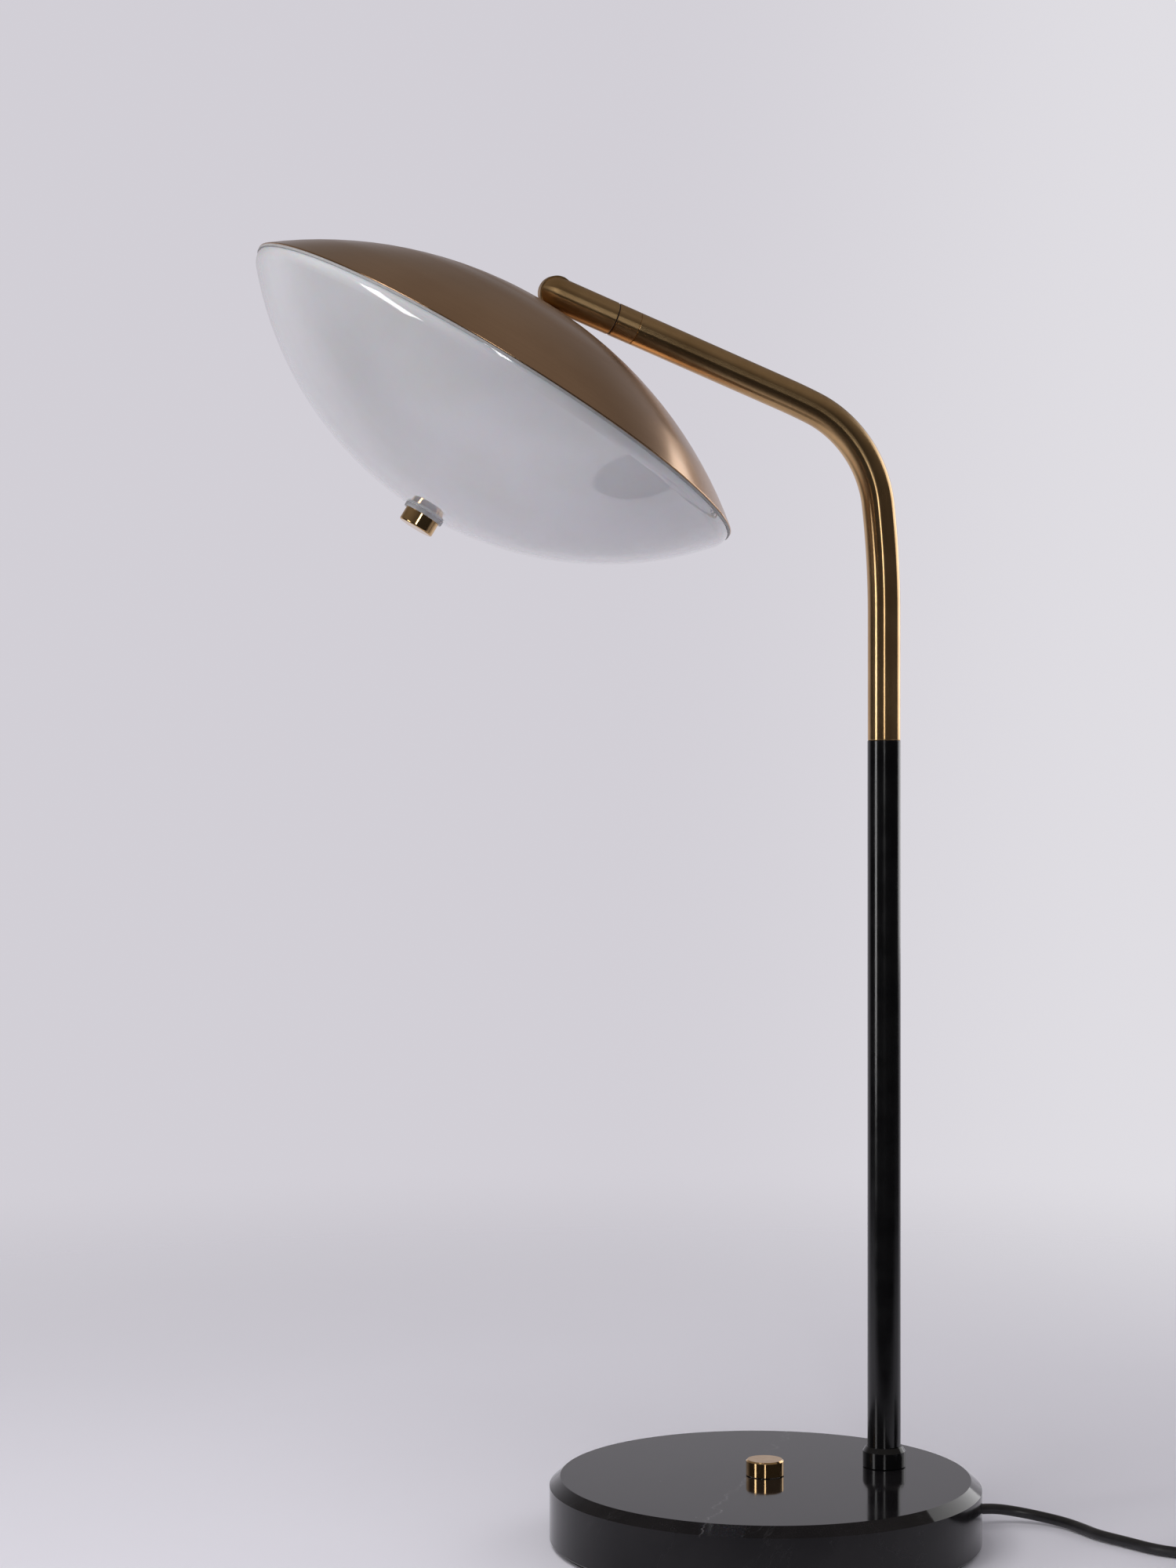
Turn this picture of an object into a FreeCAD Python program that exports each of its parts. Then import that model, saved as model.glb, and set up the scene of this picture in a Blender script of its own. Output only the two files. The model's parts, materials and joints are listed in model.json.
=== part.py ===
import FreeCAD
import Part
import Sketcher
import math
import os
from FreeCAD import Placement, Rotation, Vector

# Dome shade desk lamp: a round stone base with a dimmer knob, a pole that bends into an arm,
# a slotted ball-nosed hinge, and a shallow metal dome closed by an opal glass bowl.
# Origin: centre of the underside, on the surface that the lamp stands on. +Z up, millimetres.
# The pole stands at +X, the arm reaches towards -X, and -Y is the viewer's side.

doc = FreeCAD.newDocument("DeskLamp")
sheet = doc.addObject("Spreadsheet::Sheet", "Sizes")

# ---------------------------------------------------------------- driving sizes
driving = (
    # base
    ("base_radius", 102.5, "stone disc"),
    ("base_height", 32.0, "from the table to the top of the stone"),
    ("base_bevel_width", 5.1, "top bevel, measured inwards"),
    ("base_bevel_drop", 4.4, "top bevel, measured downwards"),
    ("base_low_bevel", 1.0, "small bevel at the bottom edge"),
    ("pad_thick", 2.0, "soft pad under the stone"),
    ("pad_inset", 3.5, "how far the pad stays inside the stone's edge"),
    ("cavity_radius", 80.0, "hollow under the stone"),
    ("cavity_roof", 10.0, "stone left over the hollow"),
    ("plate_thick", 1.2, "steel plate that closes the hollow"),
    ("plate_ledge", 10.0, "width of the ledge that the plate sits on"),
    ("plate_play", 0.5, "gap round the plate"),
    ("insert_radius", 3.0, "threaded insert"),
    ("insert_depth", 9.0, "depth of the insert in the stone"),
    ("plate_screw_radius", 1.5, "plate screw"),
    ("plate_screw_head", 2.8, "head of a plate screw"),
    ("plate_screw_length", 8.0, "plate screw from its face to its tip"),
    ("plate_screw_count", 4, "plate screws, and the inserts they go into"),
    # dimmer
    ("knob_radius", 9.0, "dimmer knob"),
    ("knob_height", 7.2, "dimmer knob"),
    ("knob_bevel", 0.7, "top edge of the knob"),
    ("knob_gap", 0.4, "gap under the knob"),
    ("knob_roof", 1.8, "metal left over the shaft's end"),
    ("shaft_radius", 3.0, "dimmer shaft"),
    ("shaft_flat", 1.5, "from the shaft's axis to its flat"),
    ("running_gap", 0.05, "play of a turning shaft or pin"),
    ("bush_radius", 5.0, "threaded bush of the dimmer"),
    ("bush_hole_play", 0.2, "gap between the bush and the stone"),
    ("counterbore_play", 0.5, "gap round the dimmer's nut"),
    ("counterbore_depth", 3.4, "recess for the dimmer's nut"),
    ("dimmer_nut_flats", 14.0, "dimmer nut across its flats"),
    ("dimmer_nut_thick", 2.4, "dimmer nut"),
    ("dimmer_radius", 12.0, "dimmer case"),
    ("dimmer_height", 12.0, "dimmer case"),
    ("shaft_seat", 8.0, "how deep the shaft enters the case"),
    ("lug_width", 3.0, "solder lug of the dimmer"),
    ("lug_length", 5.0, "solder lug of the dimmer"),
    ("lug_thick", 0.8, "solder lug of the dimmer"),
    ("lug_pitch", 6.0, "from one solder lug to the next"),
    # pole
    ("pole_gap", 3.5, "gap between the pole's washer and the wall of the hollow"),
    ("pole_radius", 8.0, "black tube"),
    ("pole_wall", 1.5, "black tube"),
    ("pole_length", 349.7, "black tube above the stone"),
    ("pole_edge", 0.4, "broken edge at the top of the black tube"),
    ("collar_radius", 10.25, "collar at the foot of the pole"),
    ("collar_height", 10.0, "collar at the foot of the pole"),
    ("collar_shoulder", 7.6, "where the collar's slope starts"),
    ("collar_top_width", 0.7, "flat left at the collar's top"),
    ("collar_edge", 0.4, "broken edge at the collar's foot"),
    ("collar_play", 0.1, "gap between the collar and the pole"),
    ("foot_length", 18.0, "threaded plug in the pole's foot"),
    ("nipple_radius", 5.0, "hollow threaded rod"),
    ("nipple_bore", 3.0, "bore of the threaded rod, as a radius"),
    ("nipple_rise", 14.0, "threaded rod above the stone"),
    ("nipple_drop", 10.0, "threaded rod below the hollow's roof"),
    ("nipple_hole_play", 0.3, "gap between the threaded rod and the stone"),
    ("pole_washer_radius", 15.0, "washer under the roof"),
    ("pole_washer_thick", 2.0, "washer under the roof"),
    ("pole_nut_flats", 17.0, "pole nut across its flats"),
    ("pole_nut_thick", 6.0, "pole nut"),
    # arm
    ("arm_step", 0.1, "how much slimmer the brass tube is than the black one"),
    ("arm_rise", 60.7, "straight brass tube above the joint with the pole"),
    ("bend_first_radius", 454.0, "soft start of the bend"),
    ("bend_first_turn", 6.65, "degrees"),
    ("bend_radius", 56.9, "main bend"),
    ("bend_turn", 59.85, "degrees"),
    ("bend_last_radius", 291.5, "soft end of the bend"),
    ("bend_last_turn", 3.1, "degrees"),
    ("arm_reach", 80.33, "straight tube after the bend, up to the ferrule"),
    ("coupler_length", 50.0, "sleeve inside the joint of the two tubes"),
    ("coupler_wall", 1.2, "sleeve inside the joint"),
    # swivel and hinge
    ("ferrule_length", 11.2, "ring at the arm's end"),
    ("ferrule_edge", 0.35, "broken edges of ring and knuckle"),
    ("spigot_length", 8.0, "part of the ring inside the tube"),
    ("stem_radius", 4.5, "stem of the knuckle"),
    ("stem_bore", 2.6, "bore for the lead, as a radius"),
    ("swivel_washer_thick", 0.45, "dark washer at the parting line"),
    ("swivel_washer_inset", 0.5, "how far the washer stays inside the ring's edge"),
    ("swivel_nut_play", 0.5, "gap between the round nut and the tube"),
    ("swivel_nut_thick", 4.0, "round nut on the stem"),
    ("knuckle_length", 29.6, "from the washer to the hinge pin"),
    ("tongue_stand", 0.3, "how much larger than the knuckle the tongue's disc is"),
    ("tongue_thick", 4.6, "disc of the tongue"),
    ("tongue_neck", 7.6, "width of the neck under the disc"),
    ("hinge_washer_radius", 5.5, "washers either side of the tongue"),
    ("hinge_washer_thick", 0.3, "washers either side of the tongue"),
    ("slot_clear", 0.5, "gap between the tongue's disc and the slot's floor"),
    ("pin_radius", 2.0, "shank of the hinge screw"),
    ("pin_cover", 2.3, "metal left over the pin's end in the near cheek"),
    ("pin_head_radius", 3.4, "head of the hinge screw"),
    ("pin_head_thick", 1.3, "head of the hinge screw"),
    ("pin_head_sink", 1.7, "depth of the recess for the screw's head"),
    ("driver_slot_width", 0.8, "screwdriver slot"),
    ("driver_slot_depth", 0.7, "screwdriver slot"),
    # head
    ("rim_radius", 127.8, "dome at its rim"),
    ("dome_height", 46.8, "dome from its rim to the crown of its curve"),
    ("dome_wall", 1.2, "spun sheet"),
    ("land_radius", 10.8, "flat on the crown that the tongue seats on"),
    ("rim_edge", 0.45, "rounding of the dome's edge"),
    ("nose_clear", 0.4, "gap between the knuckle's nose and the flange"),
    ("flange_radius", 8.5, "flange of the tongue"),
    ("flange_thick", 1.0, "flange of the tongue"),
    ("stud_radius", 4.0, "hollow stud of the tongue"),
    ("stud_bore", 2.2, "bore of the stud, as a radius"),
    ("stud_end", 1.5, "stud below the frame's top bar"),
    ("stud_hole_play", 0.2, "gap between the stud and the dome"),
    ("dome_washer_radius", 8.0, "washer inside the dome"),
    ("dome_washer_thick", 1.0, "washer inside the dome"),
    ("dome_nut_flats", 13.0, "nut inside the dome"),
    ("dome_nut_thick", 5.0, "nut inside the dome"),
    ("tray_inset", 39.8, "how much smaller than the rim the aluminium tray is"),
    ("tray_thick", 1.5, "aluminium tray"),
    ("tray_seat", 30.0, "raised middle of the tray, as a radius"),
    ("tray_foot", 45.0, "where the tray's ring begins, as a radius"),
    ("tray_drop", 16.3, "from the raised middle down to the ring"),
    ("tray_lip", 4.5, "edge of the tray, turned down"),
    ("board_inner", 48.0, "ring board"),
    ("board_inset", 3.0, "how far the board stays inside the tray"),
    ("board_thick", 1.6, "ring board"),
    ("board_screw_radius", 1.5, "board screw"),
    ("board_screw_head", 2.8, "head of a board screw"),
    ("board_screw_rise", 2.0, "head of a board screw"),
    ("board_screw_count", 4, "board screws"),
    ("chip_inset", 15.0, "light sources from the board's outer edge"),
    ("chip_width", 3.5, "one light source"),
    ("chip_rise", 0.8, "one light source"),
    ("chip_count", 24, "light sources"),
    ("terminal_width", 8.0, "lead terminal on the board"),
    ("terminal_length", 12.0, "lead terminal on the board"),
    ("terminal_rise", 6.0, "lead terminal on the board"),
    ("bridge_width", 22.0, "frame that joins stud and rod"),
    ("bridge_height", 24.0, "frame that joins stud and rod"),
    ("bridge_depth", 14.0, "frame that joins stud and rod"),
    ("bridge_bar", 4.0, "top and bottom bars of the frame"),
    ("bridge_side", 3.0, "sides of the frame"),
    ("rod_radius", 2.5, "rod that holds the bowl"),
    ("rod_rise", 3.0, "rod inside the frame"),
    ("rod_nut_flats", 8.0, "nut on the rod"),
    ("rod_nut_thick", 4.0, "nut on the rod"),
    ("bowl_depth", 63.5, "bowl from the dome's rim to its lowest point"),
    ("bowl_step", 1.5, "how much smaller than the rim the bowl is"),
    ("bowl_edge_drop", 1.2, "centre of the shoulder's rounding below the rim"),
    ("bowl_edge", 8.0, "rounding of the bowl's shoulder"),
    ("bowl_wall", 3.0, "glass"),
    ("bowl_lip_rise", 2.4, "lip that goes inside the dome"),
    ("bowl_lip_inset", 3.4, "lip inside the bowl's outside"),
    ("bowl_flat", 10.0, "ground flat under the bowl, as a radius"),
    ("bowl_hole", 3.2, "hole for the rod"),
    ("seal_thick", 1.0, "soft ring between dome and bowl"),
    ("seal_inset", 0.9, "how far the soft ring stays inside the rim"),
    ("finial_washer_radius", 9.75, "clear washer under the bowl"),
    ("finial_washer_thick", 1.9, "clear washer under the bowl"),
    ("finial_radius", 8.5, "brass cap"),
    ("finial_height", 6.6, "brass cap"),
    ("finial_edge", 0.8, "rounded lower edge of the cap"),
    ("finial_floor", 2.0, "metal left under the rod's end"),
    # pose in which the lamp is shown, in degrees
    ("rest_swivel", -6.54, "head about the arm's axis"),
    ("rest_tilt", 99.8, "head about the hinge pin, from the arm's line"),
    # inside the base
    ("driver_length", 56.0, "light driver"),
    ("driver_width", 38.0, "light driver"),
    ("driver_height", 15.0, "light driver"),
    ("driver_fillet", 1.5, "light driver"),
    ("block_length", 24.0, "terminal block"),
    ("block_width", 14.0, "terminal block"),
    ("block_height", 12.0, "terminal block"),
    ("clamp_length", 22.0, "saddle over the lead"),
    ("clamp_width", 8.0, "saddle over the lead"),
    ("clamp_height", 8.2, "saddle over the lead"),
    ("clamp_foot", 2.2, "feet of the saddle"),
    ("clamp_screw_radius", 1.4, "screws of the saddle"),
    ("clamp_screw_head", 2.6, "screws of the saddle"),
    ("clamp_screw_rise", 1.8, "screws of the saddle"),
    ("inner_lead_radius", 1.7, "thin lead inside pole, arm and head"),
    ("inner_lead_bend", 6.0, "bend of the lead under the pole"),
    ("inner_lead_run", 24.0, "thin lead along the plate"),
    ("inner_lead_stop", 5.1, "gap between the arm's lead and the round nut"),
    ("tail_start", 7.3, "straight lead inside the strain relief"),
    # lead
    ("cord_radius", 2.6, "half the width of the flat twin lead"),
    ("exit_height", 7.5, "axis of the lead where it leaves the stone"),
    ("relief_radius", 3.3, "strain relief in the stone"),
    ("relief_tip_wall", 0.3, "strain relief round the lead at its end"),
    ("relief_outside", 7.5, "strain relief outside the stone"),
    ("relief_inside", 3.0, "strain relief inside the hollow"),
    ("relief_flange", 4.2, "flange inside the hollow, as a radius"),
    ("relief_play", 0.2, "gap between the flat flange and the round wall"),
    ("relief_groove", 0.35, "depth of the flexing grooves"),
    ("cord_lift", 0.1, "gap between the lead and the table"),
    ("cord_last_run", 12.5, "straight lead before the coil"),
    ("coil_middle_x", 222.1, "put-away coil"),
    ("coil_middle_y", -87.3, "put-away coil"),
    ("coil_outer", 36.8, "axis of the outermost turn, as a radius"),
    ("coil_side_gap", 1.4, "gap from one turn to the next"),
    ("coil_layer_gap", 0.6, "gap from one layer to the next"),
    ("coil_quarters", 7, "quarter turns in one layer's spiral"),
    ("coil_top_quarters", 5, "quarter turns in the top layer's spiral"),
    ("coil_layers", 4, "layers of the coil"),
    ("coil_tail_turn", 130.0, "degrees over which the lead comes down beside the coil"),
    ("coil_tail_rest", 40.0, "degrees before it starts to come down"),
    ("coil_tail_spread", 17.0, "how far it moves outwards"),
    ("coil_start", 225.0, "degrees, where the coil begins"),
    ("plug_length", 36.0, "plug"),
    ("plug_width", 35.0, "plug at its pins"),
    ("plug_waist", 15.0, "plug at the lead"),
    ("plug_thick", 13.7, "plug"),
    ("plug_shoulder", 20.0, "where the plug starts to narrow"),
    ("plug_fillet", 2.5, "edges of the plug"),
    ("plug_boot_length", 16.0, "moulded boot on the plug"),
    ("plug_boot_radius", 5.0, "moulded boot at the plug"),
    ("plug_boot_wall", 0.8, "moulded boot round the lead"),
    ("prong_radius", 2.0, "round pin"),
    ("prong_length", 19.0, "round pin outside the plug"),
    ("prong_seat", 8.0, "round pin inside the plug"),
    ("prong_spacing", 18.6, "from pin to pin"),
    ("prong_edge", 1.2, "rounded end of a pin"),
)

for row, (alias, number, note) in enumerate(driving, start=1):
    sheet.set("A%d" % row, note)
    sheet.set("B%d" % row, str(number))
    sheet.setAlias("B%d" % row, alias)
doc.recompute()


class Measure:
    """A number together with the sheet formula that gives it."""

    def __init__(self, value, text):
        self.value = value
        self.text = text

    def joined(self, other, sign, value):
        return Measure(value, "(%s %s %s)" % (self.text, sign, other.text))

    def __add__(self, other):
        other = as_measure(other)
        return self.joined(other, "+", self.value + other.value)

    def __sub__(self, other):
        other = as_measure(other)
        return self.joined(other, "-", self.value - other.value)

    def __mul__(self, other):
        other = as_measure(other)
        return self.joined(other, "*", self.value * other.value)

    def __truediv__(self, other):
        other = as_measure(other)
        return self.joined(other, "/", self.value / other.value)

    def __rsub__(self, other):
        return as_measure(other) - self

    def __neg__(self):
        return Measure(-self.value, "(0 - %s)" % self.text)

    __radd__ = __add__
    __rmul__ = __mul__

    def root(self):
        return Measure(math.sqrt(self.value), "sqrt(%s)" % self.text)


def as_measure(number):
    if isinstance(number, Measure):
        return number
    return Measure(float(number), repr(float(number)))


class Sizes:
    """Reads the sheet: size.base_radius is that cell as a Measure."""

    def __getattr__(self, alias):
        return Measure(float(sheet.get(alias)), "Sizes." + alias)


size = Sizes()
parts = []
# how far a through cut runs past its piece
past = 1.0
# two places closer than this are the same
same = 0.01
# screws in fours stand on the diagonals, in degrees from +X
diagonal = 45.0
# flexing grooves in the strain relief and in the plug's boot
groove_count = 3


# ---------------------------------------------------------------- helpers
def new_body(label, place=Placement()):
    """An empty body that will be written as one node."""
    body = doc.addObject("PartDesign::Body", label)
    body.Label = label
    body.Placement = place
    parts.append(body)
    return body


def origin_feature(body, role):
    return next(item for item in body.Origin.OriginFeatures if item.Role == role)


def new_sketch(body, role="XZ_Plane", lift=None):
    """A sketch on one of the body's own origin planes, lifted along its normal if asked."""
    sketch = body.newObject("Sketcher::SketchObject", body.Label + "_sketch")
    sketch.AttachmentSupport = [(origin_feature(body, role), "")]
    sketch.MapMode = "FlatFace"
    if lift is not None:
        sketch.setExpression("AttachmentOffset.Base.z", lift.text)
        sketch.AttachmentOffset = Placement(Vector(0, 0, lift.value), Rotation())
    return sketch


def bound(sketch, measure, *constraint):
    """Adds a dimension and ties it to its cells."""
    index = sketch.addConstraint(Sketcher.Constraint(*constraint, measure.value))
    sketch.setExpression("Constraints[%d]" % index, measure.text)


def pin_point(sketch, edge, end, across, along):
    """Dimensions one end of an edge from the sketch's origin; a plain zero lies on the axis."""
    for measure, kind, axis in ((across, "DistanceX", -2), (along, "DistanceY", -1)):
        if measure.text == "0.0":
            sketch.addConstraint(Sketcher.Constraint("PointOnObject", edge, end, axis))
        else:
            bound(sketch, measure, kind, -1, 1, edge, end)


class Curve:
    """The end of an arc in an outline: a positive radius turns left, a negative one right."""

    def __init__(self, across, along, radius):
        self.end = (as_measure(across), as_measure(along))
        self.radius = as_measure(radius)


def arc_between(start, end, radius):
    """Arc of less than a half turn between two points, and whether it runs start to end."""
    middle = (start + end) * 0.5
    chord = end - start
    reach = math.sqrt(max(radius * radius - chord.Length ** 2 / 4.0, 0.0))
    normal = Vector(-chord.y, chord.x, 0).normalize()
    centre = middle + normal * (reach if radius > 0 else -reach)
    circle = Part.Circle(centre, Vector(0, 0, 1), abs(radius))
    first, last = (start, end) if radius > 0 else (end, start)
    angles = [math.atan2(point.y - centre.y, point.x - centre.x) for point in (first, last)]
    return Part.ArcOfCircle(circle, angles[0], angles[1]), radius > 0


def outline(sketch, steps):
    """Closed loop of lines and arcs through dimensioned corners."""
    corners = [step.end if isinstance(step, Curve) else tuple(map(as_measure, step)) for step in steps]
    points = [Vector(across.value, along.value, 0) for across, along in corners]
    first_edge = sketch.GeometryCount
    ends = []
    for index, step in enumerate(steps):
        start = points[index - 1]
        if isinstance(step, Curve):
            arc, forward = arc_between(start, points[index], step.radius.value)
            edge = sketch.addGeometry(arc, False)
            ends.append((edge, 1, 2) if forward else (edge, 2, 1))
        else:
            edge = sketch.addGeometry(Part.LineSegment(start, points[index]), False)
            ends.append((edge, 1, 2))
    for index, (edge, tail, head) in enumerate(ends):
        following, following_tail, _ = ends[(index + 1) % len(ends)]
        sketch.addConstraint(Sketcher.Constraint("Coincident", edge, head, following, following_tail))
        pin_point(sketch, edge, head, *corners[index])
        if isinstance(steps[index], Curve):
            radius = steps[index].radius
            bound(sketch, radius if radius.value > 0 else -radius, "Radius", edge)
    return first_edge


def circle(sketch, across, along, radius):
    across, along, radius = as_measure(across), as_measure(along), as_measure(radius)
    centre = Vector(across.value, along.value, 0)
    edge = sketch.addGeometry(Part.Circle(centre, Vector(0, 0, 1), radius.value), False)
    if across.text == "0.0" and along.text == "0.0":
        sketch.addConstraint(Sketcher.Constraint("Coincident", edge, 3, -1, 1))
    else:
        pin_point(sketch, edge, 3, across, along)
    bound(sketch, radius, "Radius", edge)


def hexagon(sketch, flats):
    """Regular hexagon about the sketch's origin, given across its flats."""
    half = flats / 2
    reach = flats / math.sqrt(3)
    corners = ((reach, 0), (reach / 2, half), (-(reach / 2), half),
               (-reach, 0), (-(reach / 2), -half), (reach / 2, -half))
    outline(sketch, corners)


def turned(body, steps, axis="V_Axis", role="XZ_Plane"):
    """Solid of revolution about one of the sketch's axes."""
    sketch = new_sketch(body, role)
    outline(sketch, steps)
    solid = body.newObject("PartDesign::Revolution", body.Label + "_turned")
    solid.Profile = sketch
    solid.ReferenceAxis = (sketch, [axis])
    solid.Angle = 360
    body.Tip = solid
    return solid


def turned_upright(body, sketch, across):
    """Solid of revolution about an upright line that stands off the sketch's origin."""
    line = Part.LineSegment(Vector(across.value, -1, 0), Vector(across.value, 1, 0))
    axis = sketch.addGeometry(line, True)
    sketch.addConstraint(Sketcher.Constraint("Vertical", axis))
    bound(sketch, across, "DistanceX", -1, 1, axis, 1)
    solid = body.newObject("PartDesign::Revolution", body.Label + "_turned")
    solid.Profile = sketch
    solid.ReferenceAxis = (sketch, ["Axis0"])
    solid.Angle = 360
    body.Tip = solid
    return solid


def pad(body, sketch, length, midplane=False):
    length = as_measure(length)
    solid = body.newObject("PartDesign::Pad", body.Label + "_pad")
    solid.Profile = sketch
    solid.Length = length.value
    solid.setExpression("Length", length.text)
    solid.Midplane = midplane
    body.Tip = solid
    return solid


def slot_cut(body, sketch, reach):
    """Cut that reaches equally far to both sides of the sketch's plane."""
    length = as_measure(reach) * 2
    cut = body.newObject("PartDesign::Pocket", body.Label + "_cut")
    cut.Profile = sketch
    cut.Length = length.value
    cut.setExpression("Length", length.text)
    cut.Midplane = True
    body.Tip = cut
    return cut


def around(body, feature, count):
    """Repeats a feature round the body's Z axis."""
    pattern = body.newObject("PartDesign::PolarPattern", body.Label + "_ring")
    pattern.Originals = [feature]
    pattern.Axis = (origin_feature(body, "Z_Axis"), [""])
    pattern.Angle = 360
    pattern.Occurrences = int(count.value)
    pattern.setExpression("Occurrences", count.text)
    body.Tip = pattern
    return pattern


def rounded(body, radius, wanted):
    """Fillets the edges of the tip whose middle point the test accepts."""
    doc.recompute()
    base = body.Tip
    names = []
    for index, edge in enumerate(base.Shape.Edges, start=1):
        if wanted(edge.valueAt((edge.FirstParameter + edge.LastParameter) / 2)):
            names.append("Edge%d" % index)
    fillet = body.newObject("PartDesign::Fillet", body.Label + "_fillet")
    fillet.Base = (base, names)
    fillet.Radius = radius.value
    fillet.setExpression("Radius", radius.text)
    body.Tip = fillet
    return fillet


def sheet_ring(label, inner, outer, low, thick, place):
    """Flat ring, used for washers, boards and seals."""
    body = new_body(label, place)
    high = low + thick
    turned(body, ((inner, low), (outer, low), (outer, high), (inner, high)))
    return body


def nut(label, flats, bore, low, thick, place):
    """Hexagon nut standing on the height low."""
    body = new_body(label, place)
    sketch = new_sketch(body, "XY_Plane", as_measure(low))
    hexagon(sketch, flats)
    circle(sketch, 0, 0, bore)
    pad(body, sketch, thick)
    return body


def moved(across, depth, up):
    """Placement that only shifts."""
    values = [as_measure(item).value for item in (across, depth, up)]
    return Placement(Vector(*values), Rotation())


def turned_about(axis, degrees):
    return Placement(Vector(), Rotation(axis, degrees))


# ---------------------------------------------------------------- frames
X, Y, Z = Vector(1, 0, 0), Vector(0, 1, 0), Vector(0, 0, 1)
pole_offset = size.cavity_radius - size.pole_washer_radius - size.pole_gap
pole_axis = moved(pole_offset, 0, 0)
stone_place = moved(0, 0, size.pad_thick)
stone_height = size.base_height - size.pad_thick
roof_height = stone_height - size.cavity_roof
tube_bore = size.pole_radius - size.pole_wall
arm_radius = size.pole_radius - size.arm_step
tongue_radius = arm_radius + size.tongue_stand
joint_height = size.base_height + size.pole_length

# dome: two concentric curves and a flat land; everything inside hangs from the land
dome_curve = (size.rim_radius * size.rim_radius + size.dome_height * size.dome_height) / (size.dome_height * 2)
inner_curve = dome_curve - size.dome_wall
curve_centre = size.dome_height - dome_curve
land_height = curve_centre + (dome_curve * dome_curve - size.land_radius * size.land_radius).root()
ceiling_height = land_height - size.dome_wall
flange_top = land_height + size.flange_thick
pin_height = flange_top + size.nose_clear + arm_radius
nut_low = ceiling_height - size.dome_washer_thick - size.dome_nut_thick
tray_low = nut_low - size.tray_thick
tray_radius = size.rim_radius - size.tray_inset
board_outer = tray_radius - size.board_inset
chip_circle = board_outer - size.chip_inset
board_screw_circle = (size.board_inner + chip_circle - size.chip_width / 2) / 2
board_top = nut_low - size.tray_drop - size.tray_thick
board_low = board_top - size.board_thick
stud_low = tray_low - size.bridge_bar - size.stud_end

# bowl: a big curve, a rounded shoulder tangent to it, and an upright lip inside the dome
bowl_radius = size.rim_radius - size.bowl_step
bowl_lip = bowl_radius - size.bowl_lip_inset
edge_across = bowl_radius - size.bowl_edge
edge_rise = size.bowl_depth - size.bowl_edge_drop
bowl_curve = ((edge_rise * edge_rise + edge_across * edge_across - size.bowl_edge * size.bowl_edge)
              / ((edge_rise - size.bowl_edge) * 2))
curve_middle = bowl_curve - size.bowl_depth
bowl_flat_height = curve_middle - (bowl_curve * bowl_curve - size.bowl_flat * size.bowl_flat).root()
finial_top = bowl_flat_height - size.finial_washer_thick
finial_low = finial_top - size.finial_height


def arm_centreline():
    """Tangent chain from the pole joint to the ferrule, as (length or None, radius, degrees) steps."""
    return (("line", size.arm_rise),
            ("arc", size.bend_first_radius, size.bend_first_turn),
            ("arc", size.bend_radius, size.bend_turn),
            ("arc", size.bend_last_radius, size.bend_last_turn),
            ("line", size.arm_reach))


def follow(steps, point, heading):
    """Geometry of a tangent chain that bends to the left, its end point and its heading."""
    shapes = []
    for step in steps:
        forward = Vector(math.cos(heading), math.sin(heading), 0)
        if step[0] == "line":
            end = point + forward * step[1].value
            shapes.append(Part.LineSegment(point, end))
        else:
            radius, turn = step[1].value, math.radians(step[2].value)
            centre = point + Vector(-forward.y, forward.x, 0) * radius
            first = heading - math.pi / 2
            round_edge = Part.Circle(centre, Vector(0, 0, 1), radius)
            shapes.append(Part.ArcOfCircle(round_edge, first, first + turn))
            heading += turn
            end = centre + Vector(math.sin(heading), -math.cos(heading), 0) * radius
        point = end
    return shapes, point, heading


_, arm_end, arm_heading = follow(arm_centreline(), Vector(0, 0, 0), math.pi / 2)
arm_turn = math.degrees(arm_heading) - 90.0
ferrule_frame = Placement(
    Vector(pole_offset.value + arm_end.x, 0, joint_height.value + arm_end.y),
    Rotation(Y, -arm_turn))
knuckle_foot = size.ferrule_length + size.swivel_washer_thick + size.running_gap
knuckle_frame = (ferrule_frame * turned_about(Z, size.rest_swivel.value)
                 * moved(0, 0, knuckle_foot))
hinge_frame = knuckle_frame * moved(0, 0, size.knuckle_length)
head_frame = (hinge_frame * turned_about(Y, size.rest_tilt.value)
              * moved(0, 0, -pin_height))
pin_frame = hinge_frame * turned_about(X, -90)


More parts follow.
